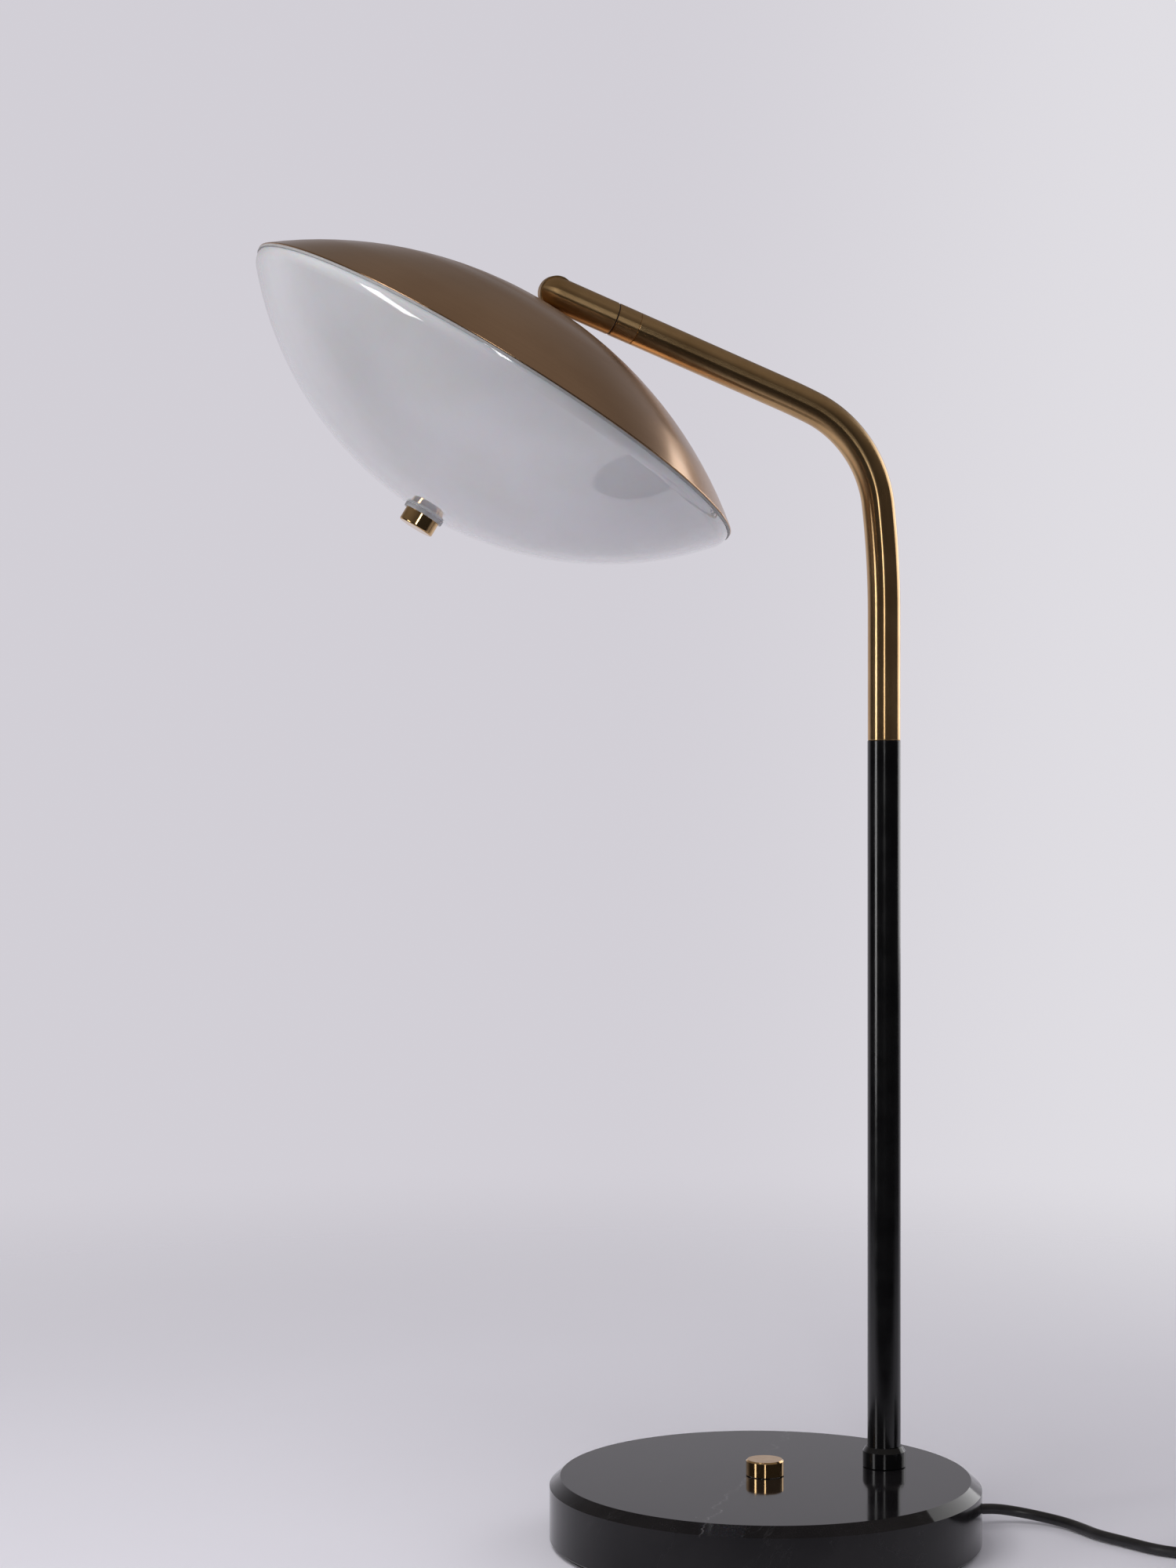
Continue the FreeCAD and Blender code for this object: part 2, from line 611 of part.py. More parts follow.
# ---------------------------------------------------------------- base
def base_stone():
    body = new_body("base_stone", stone_place)
    ledge_radius = size.cavity_radius + size.plate_ledge
    bevel_radius = size.base_radius - size.base_bevel_width
    turned(body, ((0, roof_height),
                  (size.cavity_radius, roof_height),
                  (size.cavity_radius, size.plate_thick),
                  (ledge_radius, size.plate_thick),
                  (ledge_radius, 0),
                  (size.base_radius - size.base_low_bevel, 0),
                  (size.base_radius, size.base_low_bevel),
                  (size.base_radius, stone_height - size.base_bevel_drop),
                  (bevel_radius, stone_height),
                  (0, stone_height)))
    through = new_sketch(body, "XY_Plane")
    circle(through, pole_offset, 0, size.nipple_radius + size.nipple_hole_play)
    circle(through, 0, 0, size.bush_radius + size.bush_hole_play)
    slot_cut(body, through, stone_height + past)
    recess = new_sketch(body, "XY_Plane", stone_height)
    circle(recess, 0, 0, size.dimmer_nut_flats / math.sqrt(3) + size.counterbore_play)
    slot_cut(body, recess, size.counterbore_depth)
    inserts = new_sketch(body, "XY_Plane", size.plate_thick)
    corner = insert_circle() * math.cos(math.radians(diagonal))
    circle(inserts, corner, corner, size.insert_radius)
    holes = slot_cut(body, inserts, size.insert_depth)
    around(body, holes, size.plate_screw_count)
    lead_height = size.exit_height - size.pad_thick
    lead_hole = new_sketch(body, "YZ_Plane", size.base_radius)
    circle(lead_hole, 0, lead_height, size.relief_radius)
    slot_cut(body, lead_hole, size.base_radius - size.cavity_radius + past)
    return body


def insert_circle():
    """The inserts stand in the middle of the ledge."""
    return size.cavity_radius + size.plate_ledge / 2


def base_pad():
    body = new_body("base_pad")
    radius = size.base_radius - size.pad_inset
    turned(body, ((0, 0), (radius, 0), (radius, size.pad_thick), (0, size.pad_thick)))


def base_plate():
    """Steel disc with a countersunk hole for each screw; turned so that the holes miss the lead."""
    body = new_body("base_plate", stone_place * turned_about(Z, diagonal))
    radius = size.cavity_radius + size.plate_ledge - size.plate_play
    turned(body, ((0, 0), (radius, 0), (radius, size.plate_thick), (0, size.plate_thick)))
    hole = body.newObject("PartDesign::SubtractiveCone", "countersink")
    hole.Radius1 = size.plate_screw_head.value
    hole.Radius2 = size.plate_screw_radius.value
    hole.Height = size.plate_thick.value
    hole.setExpression("Radius1", size.plate_screw_head.text)
    hole.setExpression("Radius2", size.plate_screw_radius.text)
    hole.setExpression("Height", size.plate_thick.text)
    hole.Placement = moved(insert_circle(), 0, 0)
    hole.setExpression("Placement.Base.x", insert_circle().text)
    body.Tip = hole
    around(body, hole, size.plate_screw_count)


def plate_fasteners():
    """Screws and the inserts they go into, each a ring of separate solids."""
    circle_radius = insert_circle()
    turn = stone_place * turned_about(Z, diagonal)
    inserts = new_body("plate_inserts", turn)
    sketch = new_sketch(inserts, "XY_Plane", size.plate_thick)
    circle(sketch, circle_radius, 0, size.insert_radius)
    circle(sketch, circle_radius, 0, size.plate_screw_radius)
    around(inserts, pad(inserts, sketch, size.insert_depth), size.plate_screw_count)
    screws = new_body("plate_screws", turn)
    sketch = new_sketch(screws, "XZ_Plane")
    outline(sketch, ((circle_radius, 0),
                     (circle_radius + size.plate_screw_head, 0),
                     (circle_radius + size.plate_screw_radius, size.plate_thick),
                     (circle_radius + size.plate_screw_radius, size.plate_screw_length),
                     (circle_radius, size.plate_screw_length)))
    around(screws, turned_upright(screws, sketch, circle_radius), size.plate_screw_count)


# ---------------------------------------------------------------- dimmer
def dimmer():
    top = stone_height
    nut_seat = top - size.counterbore_depth
    case_low = roof_height - size.dimmer_height
    shaft_low = roof_height - size.shaft_seat
    bush_top = nut_seat + size.dimmer_nut_thick
    shaft_bore = size.shaft_radius + size.running_gap

    case = new_body("dimmer_case", stone_place)
    turned(case, ((0, case_low), (size.dimmer_radius, case_low), (size.dimmer_radius, roof_height),
                  (shaft_bore, roof_height), (shaft_bore, shaft_low), (0, shaft_low)))
    lugs = new_sketch(case, "XY_Plane", case_low + size.lug_thick)
    half = size.lug_width / 2
    reach = size.dimmer_radius + size.lug_length
    for shift in (-size.lug_pitch, as_measure(0), size.lug_pitch):
        outline(lugs, ((shift - half, -reach), (shift + half, -reach),
                       (shift + half, -(size.dimmer_radius / 2)), (shift - half, -(size.dimmer_radius / 2))))
    pad(case, lugs, size.lug_thick)

    sheet_ring("dimmer_bush", shaft_bore, size.bush_radius, roof_height, bush_top - roof_height, stone_place)
    nut("dimmer_nut", size.dimmer_nut_flats, size.bush_radius, nut_seat, size.dimmer_nut_thick, stone_place)

    knob_low = top + size.knob_gap
    bore_top = size.knob_height - size.knob_roof
    shaft = new_body("dimmer_shaft", stone_place)
    shaft_end = knob_low + bore_top
    seat = shaft_low + size.running_gap
    turned(shaft, ((0, seat), (size.shaft_radius, seat), (size.shaft_radius, shaft_end), (0, shaft_end)))
    flat = new_sketch(shaft, "XY_Plane", shaft_end)
    outline(flat, ((size.shaft_flat, -(size.shaft_radius * 2)), (size.shaft_radius * 2, -(size.shaft_radius * 2)),
                   (size.shaft_radius * 2, size.shaft_radius * 2), (size.shaft_flat, size.shaft_radius * 2)))
    slot_cut(shaft, flat, shaft_end - bush_top)

    knob = new_body("dimmer_knob", stone_place * moved(0, 0, knob_low))
    bevel = size.knob_bevel
    turned(knob, ((0, 0), (size.knob_radius, 0), (size.knob_radius, size.knob_height - bevel),
                  (size.knob_radius - bevel, size.knob_height), (0, size.knob_height)))
    bore = new_sketch(knob, "XY_Plane")
    rise = (size.shaft_radius * size.shaft_radius - size.shaft_flat * size.shaft_flat).root()
    outline(bore, (Curve(size.shaft_flat, -rise, size.shaft_radius), (size.shaft_flat, rise),
                   Curve(-size.shaft_flat, rise, size.shaft_radius),
                   Curve(-size.shaft_flat, -rise, size.shaft_radius)))
    slot_cut(knob, bore, bore_top)


# ---------------------------------------------------------------- pole
def pole():
    roof = size.pad_thick + roof_height
    top = size.base_height
    washer_low = roof - size.pole_washer_thick
    sheet_ring("pole_nipple", size.nipple_bore, size.nipple_radius, roof - size.nipple_drop,
               top + size.nipple_rise - roof + size.nipple_drop, pole_axis)
    sheet_ring("pole_washer", size.nipple_radius, size.pole_washer_radius, washer_low,
               size.pole_washer_thick, pole_axis)
    nut("pole_nut", size.pole_nut_flats, size.nipple_radius, washer_low - size.pole_nut_thick,
        size.pole_nut_thick, pole_axis)
    sheet_ring("pole_foot", size.nipple_radius, tube_bore, top, size.foot_length, pole_axis)

    tube = new_body("pole_tube", pole_axis * moved(0, 0, top))
    edge = size.pole_edge
    turned(tube, ((tube_bore, 0), (size.pole_radius, 0), (size.pole_radius, size.pole_length - edge),
                  Curve(size.pole_radius - edge, size.pole_length, edge), (tube_bore, size.pole_length)))

    collar = new_body("pole_collar", pole_axis * moved(0, 0, top))
    bore = size.pole_radius + size.collar_play
    edge = size.collar_edge
    turned(collar, ((bore, 0), (size.collar_radius - edge, 0), (size.collar_radius, edge),
                    (size.collar_radius, size.collar_shoulder),
                    (bore + size.collar_top_width, size.collar_height), (bore, size.collar_height)))

    sheet_ring("tube_coupler", tube_bore - size.coupler_wall, tube_bore,
               joint_height - size.coupler_length / 2, size.coupler_length, pole_axis)


# ---------------------------------------------------------------- arm
def chain_sketch(body, steps, start, heading):
    """Sketch of a tangent chain of lines and left-hand arcs, dimensioned by length, radius and turn."""
    sketch = new_sketch(body, "XZ_Plane")
    origin = Vector(start[0].value, start[1].value, 0)
    shapes, _, _ = follow(steps, origin, heading)
    for index, (step, shape) in enumerate(zip(steps, shapes)):
        sketch.addGeometry(shape, False)
        if index == 0:
            pin_point(sketch, 0, 1, *start)
            sketch.addConstraint(Sketcher.Constraint("Vertical" if heading else "Horizontal", 0))
        else:
            sketch.addConstraint(Sketcher.Constraint("Tangent", index - 1, 2, index, 1))
        if step[0] == "line":
            bound(sketch, step[1], "Distance", index)
        else:
            bound(sketch, step[1], "Radius", index)
            turn = sketch.addConstraint(Sketcher.Constraint("Angle", index, math.radians(step[2].value)))
            sketch.setExpression("Constraints[%d]" % turn, step[2].text + " * 1 deg")
    return sketch


def swept(body, spine, count, role, radii, centre):
    """Tube along a spine: one circle, or two for a hollow tube."""
    section = new_sketch(body, role)
    for radius in radii:
        circle(section, centre[0], centre[1], radius)
    pipe = body.newObject("PartDesign::AdditivePipe", body.Label + "_pipe")
    pipe.Profile = section
    pipe.Spine = (spine, ["Edge%d" % (index + 1) for index in range(count)])
    body.Tip = pipe
    return pipe


def arm():
    zero = as_measure(0)
    steps = arm_centreline()
    tube = new_body("arm_tube", pole_axis * moved(0, 0, joint_height))
    spine = chain_sketch(tube, steps, (zero, zero), math.pi / 2)
    swept(tube, spine, len(steps), "XY_Plane", (arm_radius, tube_bore), (zero, zero))

    # the thin lead lies along the plate, turns up into the threaded rod and follows the arm
    run_height = size.pad_thick + size.plate_thick + size.inner_lead_radius + size.running_gap
    bend = size.inner_lead_bend
    quarter = as_measure(90)
    stop = size.arm_reach - size.spigot_length - size.swivel_nut_thick - size.inner_lead_stop
    lead_steps = (("line", size.inner_lead_run),
                  ("arc", bend, quarter),
                  ("line", joint_height - run_height - bend + size.arm_rise)) + steps[1:-1] + (("line", stop),)
    lead = new_body("arm_lead", pole_axis)
    start = -(size.inner_lead_run + bend)
    spine = chain_sketch(lead, lead_steps, (start, run_height), 0)
    section = new_sketch(lead, "YZ_Plane", start)
    circle(section, 0, run_height, size.inner_lead_radius)
    pipe = lead.newObject("PartDesign::AdditivePipe", "lead_pipe")
    pipe.Profile = section
    pipe.Spine = (spine, ["Edge%d" % (index + 1) for index in range(len(lead_steps))])
    lead.Tip = pipe


def swivel():
    """Ring, washer and nut of the swivel; the knuckle's stem turns in the ring."""
    ring = new_body("arm_ferrule", ferrule_frame)
    bore = size.stem_radius + size.running_gap
    edge = size.ferrule_edge
    radius, length, low = arm_radius, size.ferrule_length, -size.spigot_length
    turned(ring, ((bore, low), (tube_bore, low), (tube_bore, 0), (radius - edge, 0), (radius, edge),
                  (radius, length - edge), (radius - edge, length), (bore, length)))
    sheet_ring("swivel_washer", bore, radius - size.swivel_washer_inset, length,
               size.swivel_washer_thick, ferrule_frame)
    sheet_ring("swivel_nut", size.stem_radius, tube_bore - size.swivel_nut_play,
               stem_low(), size.swivel_nut_thick, knuckle_frame)


def stem_low():
    """Lower end of the knuckle's stem, flush with the round nut."""
    return -(knuckle_foot + size.spigot_length + size.running_gap + size.swivel_nut_thick)


def knuckle():
    body = new_body("knuckle", knuckle_frame)
    radius, edge, pin = arm_radius, size.ferrule_edge, size.knuckle_length
    cut_radius = tongue_radius + size.slot_clear
    bore_top = pin - cut_radius + size.stem_bore
    turned(body, ((size.stem_bore, stem_low()), (size.stem_radius, stem_low()), (size.stem_radius, 0),
                  (radius - edge, 0), (radius, edge), (radius, pin),
                  Curve(0, pin + radius, radius), (0, bore_top), (size.stem_bore, bore_top)))
    slot = new_sketch(body, "XZ_Plane")
    outline(slot, ((-cut_radius, pin), Curve(0, pin - cut_radius, cut_radius),
                   Curve(cut_radius, pin, cut_radius),
                   (cut_radius, pin + cut_radius), (-cut_radius, pin + cut_radius)))
    slot_cut(body, slot, slot_half())
    drill = new_sketch(body, "YZ_Plane")
    seat, depth, outside = arm_radius - size.pin_head_sink, -pin_depth, arm_radius + size.pin_head_sink
    head = size.pin_head_radius + size.running_gap
    outline(drill, ((depth, pin), (outside, pin), (outside, pin + head), (seat, pin + head),
                    (seat, pin + size.pin_radius), (depth, pin + size.pin_radius)))
    axis = drill.addGeometry(Part.LineSegment(Vector(-1, pin.value, 0), Vector(1, pin.value, 0)), True)
    drill.addConstraint(Sketcher.Constraint("Horizontal", axis))
    bound(drill, pin, "DistanceY", -1, 1, axis, 1)
    hole = body.newObject("PartDesign::Groove", "pin_hole")
    hole.Profile = drill
    hole.ReferenceAxis = (drill, ["Axis0"])
    hole.Angle = 360
    body.Tip = hole


pin_depth = arm_radius - size.pin_cover


def knuckle_lead():
    """Thin lead through the stem, from the round nut to the slot's floor."""
    lead = doc.addObject("Part::Cylinder", "knuckle_lead")
    length = size.knuckle_length - tongue_radius - size.slot_clear - stem_low()
    lead.Radius = size.inner_lead_radius.value
    lead.Height = length.value
    lead.setExpression("Radius", size.inner_lead_radius.text)
    lead.setExpression("Height", length.text)
    lead.Placement = knuckle_frame * moved(0, 0, stem_low())
    parts.append(lead)


def slot_half():
    """Half the knuckle's slot: half the tongue, a washer, and the play between them."""
    return size.tongue_thick / 2 + size.running_gap + size.hinge_washer_thick


def hinge_hardware():
    screw = new_body("hinge_screw", pin_frame * moved(0, 0, -pin_depth))
    seat = pin_depth + arm_radius - size.pin_head_sink
    top = seat + size.pin_head_thick
    turned(screw, ((0, 0), (size.pin_radius, 0), (size.pin_radius, seat), (size.pin_head_radius, seat),
                   (size.pin_head_radius, top), (0, top)))
    slot = new_sketch(screw, "XY_Plane", top)
    half, reach = size.driver_slot_width / 2, size.pin_head_radius * 2
    outline(slot, ((-half, -reach), (half, -reach), (half, reach), (-half, reach)))
    slot_cut(screw, slot, size.driver_slot_depth)

    washers = new_body("tongue_washers", pin_frame)
    sketch = new_sketch(washers, "XY_Plane", size.tongue_thick / 2 + size.running_gap)
    circle(sketch, 0, 0, size.hinge_washer_radius)
    circle(sketch, 0, 0, size.pin_radius)
    ring = pad(washers, sketch, size.hinge_washer_thick)
    mirror = washers.newObject("PartDesign::Mirrored", "far_washer")
    mirror.Originals = [ring]
    mirror.MirrorPlane = (origin_feature(washers, "XY_Plane"), [""])
    washers.Tip = mirror


# ---------------------------------------------------------------- head
def hinge_tongue():
    """Disc with a flange and a hollow stud that goes through the dome's crown."""
    body = new_body("hinge_tongue", head_frame)
    turned(body, ((size.stud_bore, stud_low), (size.stud_radius, stud_low), (size.stud_radius, land_height),
                  (size.flange_radius, land_height), (size.flange_radius, flange_top), (0, flange_top),
                  (0, land_height), (size.stud_bore, land_height)))
    half = size.tongue_neck / 2
    neck = new_sketch(body, "XZ_Plane")
    outline(neck, ((-half, flange_top), (half, flange_top), (half, pin_height), (-half, pin_height)))
    pad(body, neck, size.tongue_thick, midplane=True)
    disc = new_sketch(body, "XZ_Plane")
    circle(disc, 0, pin_height, tongue_radius)
    pad(body, disc, size.tongue_thick, midplane=True)
    eye = new_sketch(body, "XZ_Plane")
    circle(eye, 0, pin_height, size.pin_radius + size.running_gap)
    slot_cut(body, eye, size.tongue_thick / 2 + past)


def dome_shell():
    """Spun dome: two concentric curves with a flat land round the stud's hole."""
    body = new_body("dome_shell", head_frame)
    hole = size.stud_radius + size.stud_hole_play
    inner_land = (inner_curve * inner_curve
                  - (ceiling_height - curve_centre) * (ceiling_height - curve_centre)).root()
    inner_rim = (inner_curve * inner_curve - curve_centre * curve_centre).root()
    turned(body, ((hole, ceiling_height),
                  (inner_land, ceiling_height),
                  Curve(inner_rim, 0, -inner_curve),
                  (size.rim_radius, 0),
                  Curve(size.land_radius, land_height, dome_curve),
                  (hole, land_height)))
    rim = size.rim_radius.value
    rounded(body, size.rim_edge, lambda point: abs(math.hypot(point.x, point.y) - rim) < same)


def dome_fasteners():
    sheet_ring("dome_washer", size.stud_radius, size.dome_washer_radius,
               ceiling_height - size.dome_washer_thick, size.dome_washer_thick, head_frame)
    nut("dome_nut", size.dome_nut_flats, size.stud_radius, nut_low, size.dome_nut_thick, head_frame)


def light_tray():
    """Spun tray: raised middle clamped on the stud, sloping down to the ring that carries the board."""
    body = new_body("light_tray", head_frame)
    wall, ring_top = size.tray_thick, nut_low - size.tray_drop
    lip_low = board_top - size.tray_lip
    turned(body, ((size.stud_radius, tray_low), (size.tray_seat - wall, tray_low),
                  (size.tray_foot - wall, board_top), (tray_radius - wall, board_top),
                  (tray_radius - wall, lip_low), (tray_radius, lip_low),
                  (tray_radius, ring_top), (size.tray_foot, ring_top),
                  (size.tray_seat, nut_low), (size.stud_radius, nut_low)))
    screw_holes(body, board_top)


def screw_holes(body, height):
    """Holes for the board's screws, half way between the row of the terminal and its sides."""
    sketch = new_sketch(body, "XY_Plane", height)
    corner = board_screw_circle * math.cos(math.radians(diagonal))
    circle(sketch, corner, corner, size.board_screw_radius)
    around(body, slot_cut(body, sketch, size.board_thick + size.tray_thick + past), size.board_screw_count)


def light_board():
    board = sheet_ring("led_board", size.board_inner, board_outer, board_low, size.board_thick, head_frame)
    screw_holes(board, board_low)

    chips = new_body("led_chips", head_frame)
    sketch = new_sketch(chips, "XY_Plane", board_low - size.chip_rise)
    half = size.chip_width / 2
    near, far = chip_circle - half, chip_circle + half
    outline(sketch, ((near, -half), (far, -half), (far, half), (near, half)))
    around(chips, pad(chips, sketch, size.chip_rise), size.chip_count)

    screws = new_body("board_screws", head_frame * turned_about(Z, diagonal))
    sketch = new_sketch(screws, "XZ_Plane")
    middle = board_screw_circle
    head_low = board_low - size.board_screw_rise
    outline(sketch, ((middle, head_low), (middle + size.board_screw_head, head_low),
                     (middle + size.board_screw_head, board_low),
                     (middle + size.board_screw_radius, board_low),
                     (middle + size.board_screw_radius, board_top + size.tray_thick),
                     (middle, board_top + size.tray_thick)))
    around(screws, turned_upright(screws, sketch, middle), size.board_screw_count)

    terminal = new_body("board_terminal", head_frame)
    sketch = new_sketch(terminal, "XY_Plane", board_low - size.terminal_rise)
    half, near = size.terminal_length / 2, size.board_inner
    outline(sketch, ((-half, near), (half, near), (half, near + size.terminal_width),
                     (-half, near + size.terminal_width)))
    pad(terminal, sketch, size.terminal_rise)


def rod_bridge():
    """Open frame screwed on the stud; it clamps the tray and carries the rod."""
    body = new_body("rod_bridge", head_frame)
    low = tray_low - size.bridge_height
    half, inner = size.bridge_width / 2, size.bridge_width / 2 - size.bridge_side
    frame = new_sketch(body, "XZ_Plane")
    outline(frame, ((-half, low), (half, low), (half, tray_low), (-half, tray_low)))
    outline(frame, ((-inner, low + size.bridge_bar), (inner, low + size.bridge_bar),
                    (inner, tray_low - size.bridge_bar), (-inner, tray_low - size.bridge_bar)))
    pad(body, frame, size.bridge_depth, midplane=True)
    stud_hole = new_sketch(body, "XY_Plane", tray_low)
    circle(stud_hole, 0, 0, size.stud_radius)
    slot_cut(body, stud_hole, size.bridge_bar + past)
    rod_hole = new_sketch(body, "XY_Plane", low)
    circle(rod_hole, 0, 0, size.rod_radius)
    slot_cut(body, rod_hole, size.bridge_bar + past)

    nut("rod_nut", size.rod_nut_flats, size.rod_radius, low - size.rod_nut_thick, size.rod_nut_thick, head_frame)
    rod = new_body("centre_rod", head_frame)
    top = low + size.bridge_bar + size.rod_rise
    end = finial_low + size.finial_floor
    turned(rod, ((0, end), (size.rod_radius, end), (size.rod_radius, top), (0, top)))


def diffuser_bowl():
    body = new_body("diffuser_bowl", head_frame)
    inner_radius = bowl_curve - size.bowl_wall
    share = edge_across / (bowl_curve - size.bowl_edge)
    drop = (curve_middle + size.bowl_edge_drop) / (bowl_curve - size.bowl_edge)
    inner_floor = curve_middle - (inner_radius * inner_radius - size.bowl_hole * size.bowl_hole).root()
    lip_top = size.bowl_lip_rise - size.seal_thick
    turned(body, ((size.bowl_hole, bowl_flat_height),
                  (size.bowl_flat, bowl_flat_height),
                  Curve(share * bowl_curve, curve_middle - drop * bowl_curve, bowl_curve),
                  Curve(bowl_radius, -size.bowl_edge_drop, size.bowl_edge),
                  (bowl_radius, -size.seal_thick),
                  (bowl_lip, -size.seal_thick),
                  (bowl_lip, lip_top),
                  (bowl_lip - size.bowl_wall, lip_top),
                  (bowl_lip - size.bowl_wall, -size.bowl_edge_drop),
                  (share * inner_radius, curve_middle - drop * inner_radius),
                  Curve(size.bowl_hole, inner_floor, -inner_radius)))


def bowl_hardware():
    sheet_ring("bowl_seal", bowl_lip, size.rim_radius - size.seal_inset,
               -size.seal_thick, size.seal_thick, head_frame)
    sheet_ring("finial_washer", size.rod_radius, size.finial_washer_radius, finial_top,
               size.finial_washer_thick, head_frame)
    cap = new_body("finial_cap", head_frame)
    low, edge = finial_low, size.finial_edge
    bore_end = low + size.finial_floor
    turned(cap, ((0, low), (size.finial_radius - edge, low),
                 Curve(size.finial_radius, low + edge, edge), (size.finial_radius, finial_top),
                 (size.rod_radius, finial_top), (size.rod_radius, bore_end), (0, bore_end)))


# ---------------------------------------------------------------- inside the base
plate_top = size.pad_thick + size.plate_thick


def box_body(label, length, width, height, place, fillet=None):
    """Box with its foot on the plate, centred on its place."""
    body = new_body(label, place)
    sketch = new_sketch(body, "XY_Plane")
    across, along = length / 2, width / 2
    outline(sketch, ((-across, -along), (across, -along), (across, along), (-across, along)))
    pad(body, sketch, height)
    if fillet is not None:
        rounded(body, fillet, lambda point: point.z > same)
    return body


def on_plate(across, along, degrees=0.0):
    return Placement(Vector(across, along, plate_top.value), Rotation(Z, degrees))


# where the driver stands on the plate: across, along
driver_spot = (-43.0, 0.0)
# the lead inside the base: corners after the strain relief, across and along
tail_corners = ((55.0, 15.0), (38.5, 30.0), (22.0, 43.0), (6.0, 43.0))
# the saddle clamps the run between these two of them
clamped_run = (0, 1)


def tube_wire(points, bend_share=0.45):
    """Straight runs joined by tangent arcs as large as their two runs allow."""
    edges, radii = [], []
    last = points[0]
    for before, corner, after in zip(points, points[1:], points[2:]):
        back, ahead = before - corner, after - corner
        shorter = min(back.Length, ahead.Length)
        back.normalize()
        ahead.normalize()
        half_turn = (math.pi - back.getAngle(ahead)) / 2
        cut = bend_share * shorter
        radius = cut / math.tan(half_turn)
        first, end = corner + back * cut, corner + ahead * cut
        inward = (back + ahead).normalize()
        middle = corner + inward * (radius / math.cos(half_turn) - radius)
        edges.append(Part.LineSegment(last, first).toShape())
        edges.append(Part.Arc(first, middle, end).toShape())
        last = end
        radii.append(radius)
    edges.append(Part.LineSegment(last, points[-1]).toShape())
    return Part.Wire(edges), radii


def tube_shape(wire, radius):
    """Round tube along a wire, closed at both ends."""
    first = wire.OrderedEdges[0]
    direction = first.tangentAt(first.FirstParameter)
    ring = Part.Wire(Part.makeCircle(radius, first.valueAt(first.FirstParameter), direction))
    return wire.makePipeShell([ring], True, False)


def add_shape(label, shape, place=Placement()):
    feature = doc.addObject("Part::Feature", label)
    feature.Label = label
    feature.Shape = shape
    feature.Placement = place
    parts.append(feature)
    return feature


def report_tube(label, shape, wire, radii, radius):
    """Prints the smallest bend and compares the volume with section times length."""
    expected = math.pi * radius ** 2 * wire.Length
    print("%s: length %.1f mm, smallest bend %.1f mm, volume ratio %.5f"
          % (label, wire.Length, min(radii), shape.Volume / expected))


def base_inside():
    box_body("driver_box", size.driver_length, size.driver_width, size.driver_height,
             on_plate(*driver_spot), size.driver_fillet)
    lead_end = tail_corners[-1]
    box_body("terminal_block", size.block_length, size.block_width, size.block_height,
             on_plate(lead_end[0] - size.block_length.value / 2, lead_end[1]))

    # saddle: a bridge over the lead with two flat feet
    first, second = (Vector(*tail_corners[index], 0) for index in clamped_run)
    middle, along = (first + second) * 0.5, second - first
    clamp_place = on_plate(middle.x, middle.y, math.degrees(math.atan2(along.y, along.x)) - 90)
    saddle = new_body("cord_clamp", clamp_place)
    sketch = new_sketch(saddle, "XZ_Plane")
    half, foot, top = size.clamp_length / 2, size.clamp_foot, size.clamp_height
    arch = size.cord_radius + size.running_gap
    crown, wall = size.exit_height - plate_top, size.clamp_foot
    outline(sketch, ((arch, 0), (half, 0), (half, foot), (arch + wall, foot), (arch + wall, top),
                     (-(arch + wall), top), (-(arch + wall), foot), (-half, foot), (-half, 0),
                     (-arch, 0), (-arch, crown), Curve(0, crown + arch, -arch), Curve(arch, crown, -arch)))
    pad(saddle, sketch, size.clamp_width, midplane=True)
    reach = (half + arch + wall) / 2
    drill = new_sketch(saddle, "XY_Plane", foot)
    circle(drill, reach, 0, size.clamp_screw_radius)
    circle(drill, -reach, 0, size.clamp_screw_radius)
    slot_cut(saddle, drill, foot + past)
    screws = new_body("clamp_screws", clamp_place)
    sketch = new_sketch(screws, "XZ_Plane")
    head, top = reach + size.clamp_screw_head, foot + size.clamp_screw_rise
    outline(sketch, ((reach, 0), (reach + size.clamp_screw_radius, 0), (reach + size.clamp_screw_radius, foot),
                     (head, foot), (head, top), (reach, top)))
    screw = turned_upright(screws, sketch, reach)
    mirror = screws.newObject("PartDesign::Mirrored", "other_screw")
    mirror.Originals = [screw]
    mirror.MirrorPlane = (origin_feature(screws, "YZ_Plane"), [""])
    screws.Tip = mirror


def cord_relief():
    """Tapered strain relief: a flange in the hollow, a plain stretch in the stone and a grooved tip."""
    body = new_body("cord_relief", moved(size.base_radius, 0, size.exit_height))
    inside = size.cavity_radius - size.base_radius - size.relief_play
    back = inside - size.relief_inside
    tip, radius, out = size.cord_radius + size.relief_tip_wall, size.relief_radius, size.relief_outside
    step, run = (radius - tip) / (groove_count + 1), out / (groove_count + 1)
    profile = [(back, 0), (out, 0)]
    for index in range(groove_count):
        here, start = tip + step * index, out - run * index
        profile += [(start, here), (start - run / 2, here + step / 2),
                    (start - run / 2, here + step / 2 - size.relief_groove),
                    (start - run, here + step - size.relief_groove)]
    profile += [(out - run * groove_count, radius), (inside, radius), (inside, size.relief_flange),
                (back, size.relief_flange)]
    turned(body, profile, axis="H_Axis")


# ---------------------------------------------------------------- lead
cord_level = size.cord_radius + size.cord_lift
plug_level = size.plug_thick / 2 + size.cord_lift
# corners of the free lead after the strain relief: across, along, and rise over where it lies flat
free_corners = ((118.9, 0.0, 4.8), (132.0, -3.3, 2.6), (142.6, -11.7, 0.9), (148.4, -21.8, 0.3),
                (150.7, -33.3, 0.2), (152.2, -46.8, 0.2), (159.2, -62.6, 0.1), (165.2, -78.9, 0.1),
                (175.7, -90.3, 0.0))


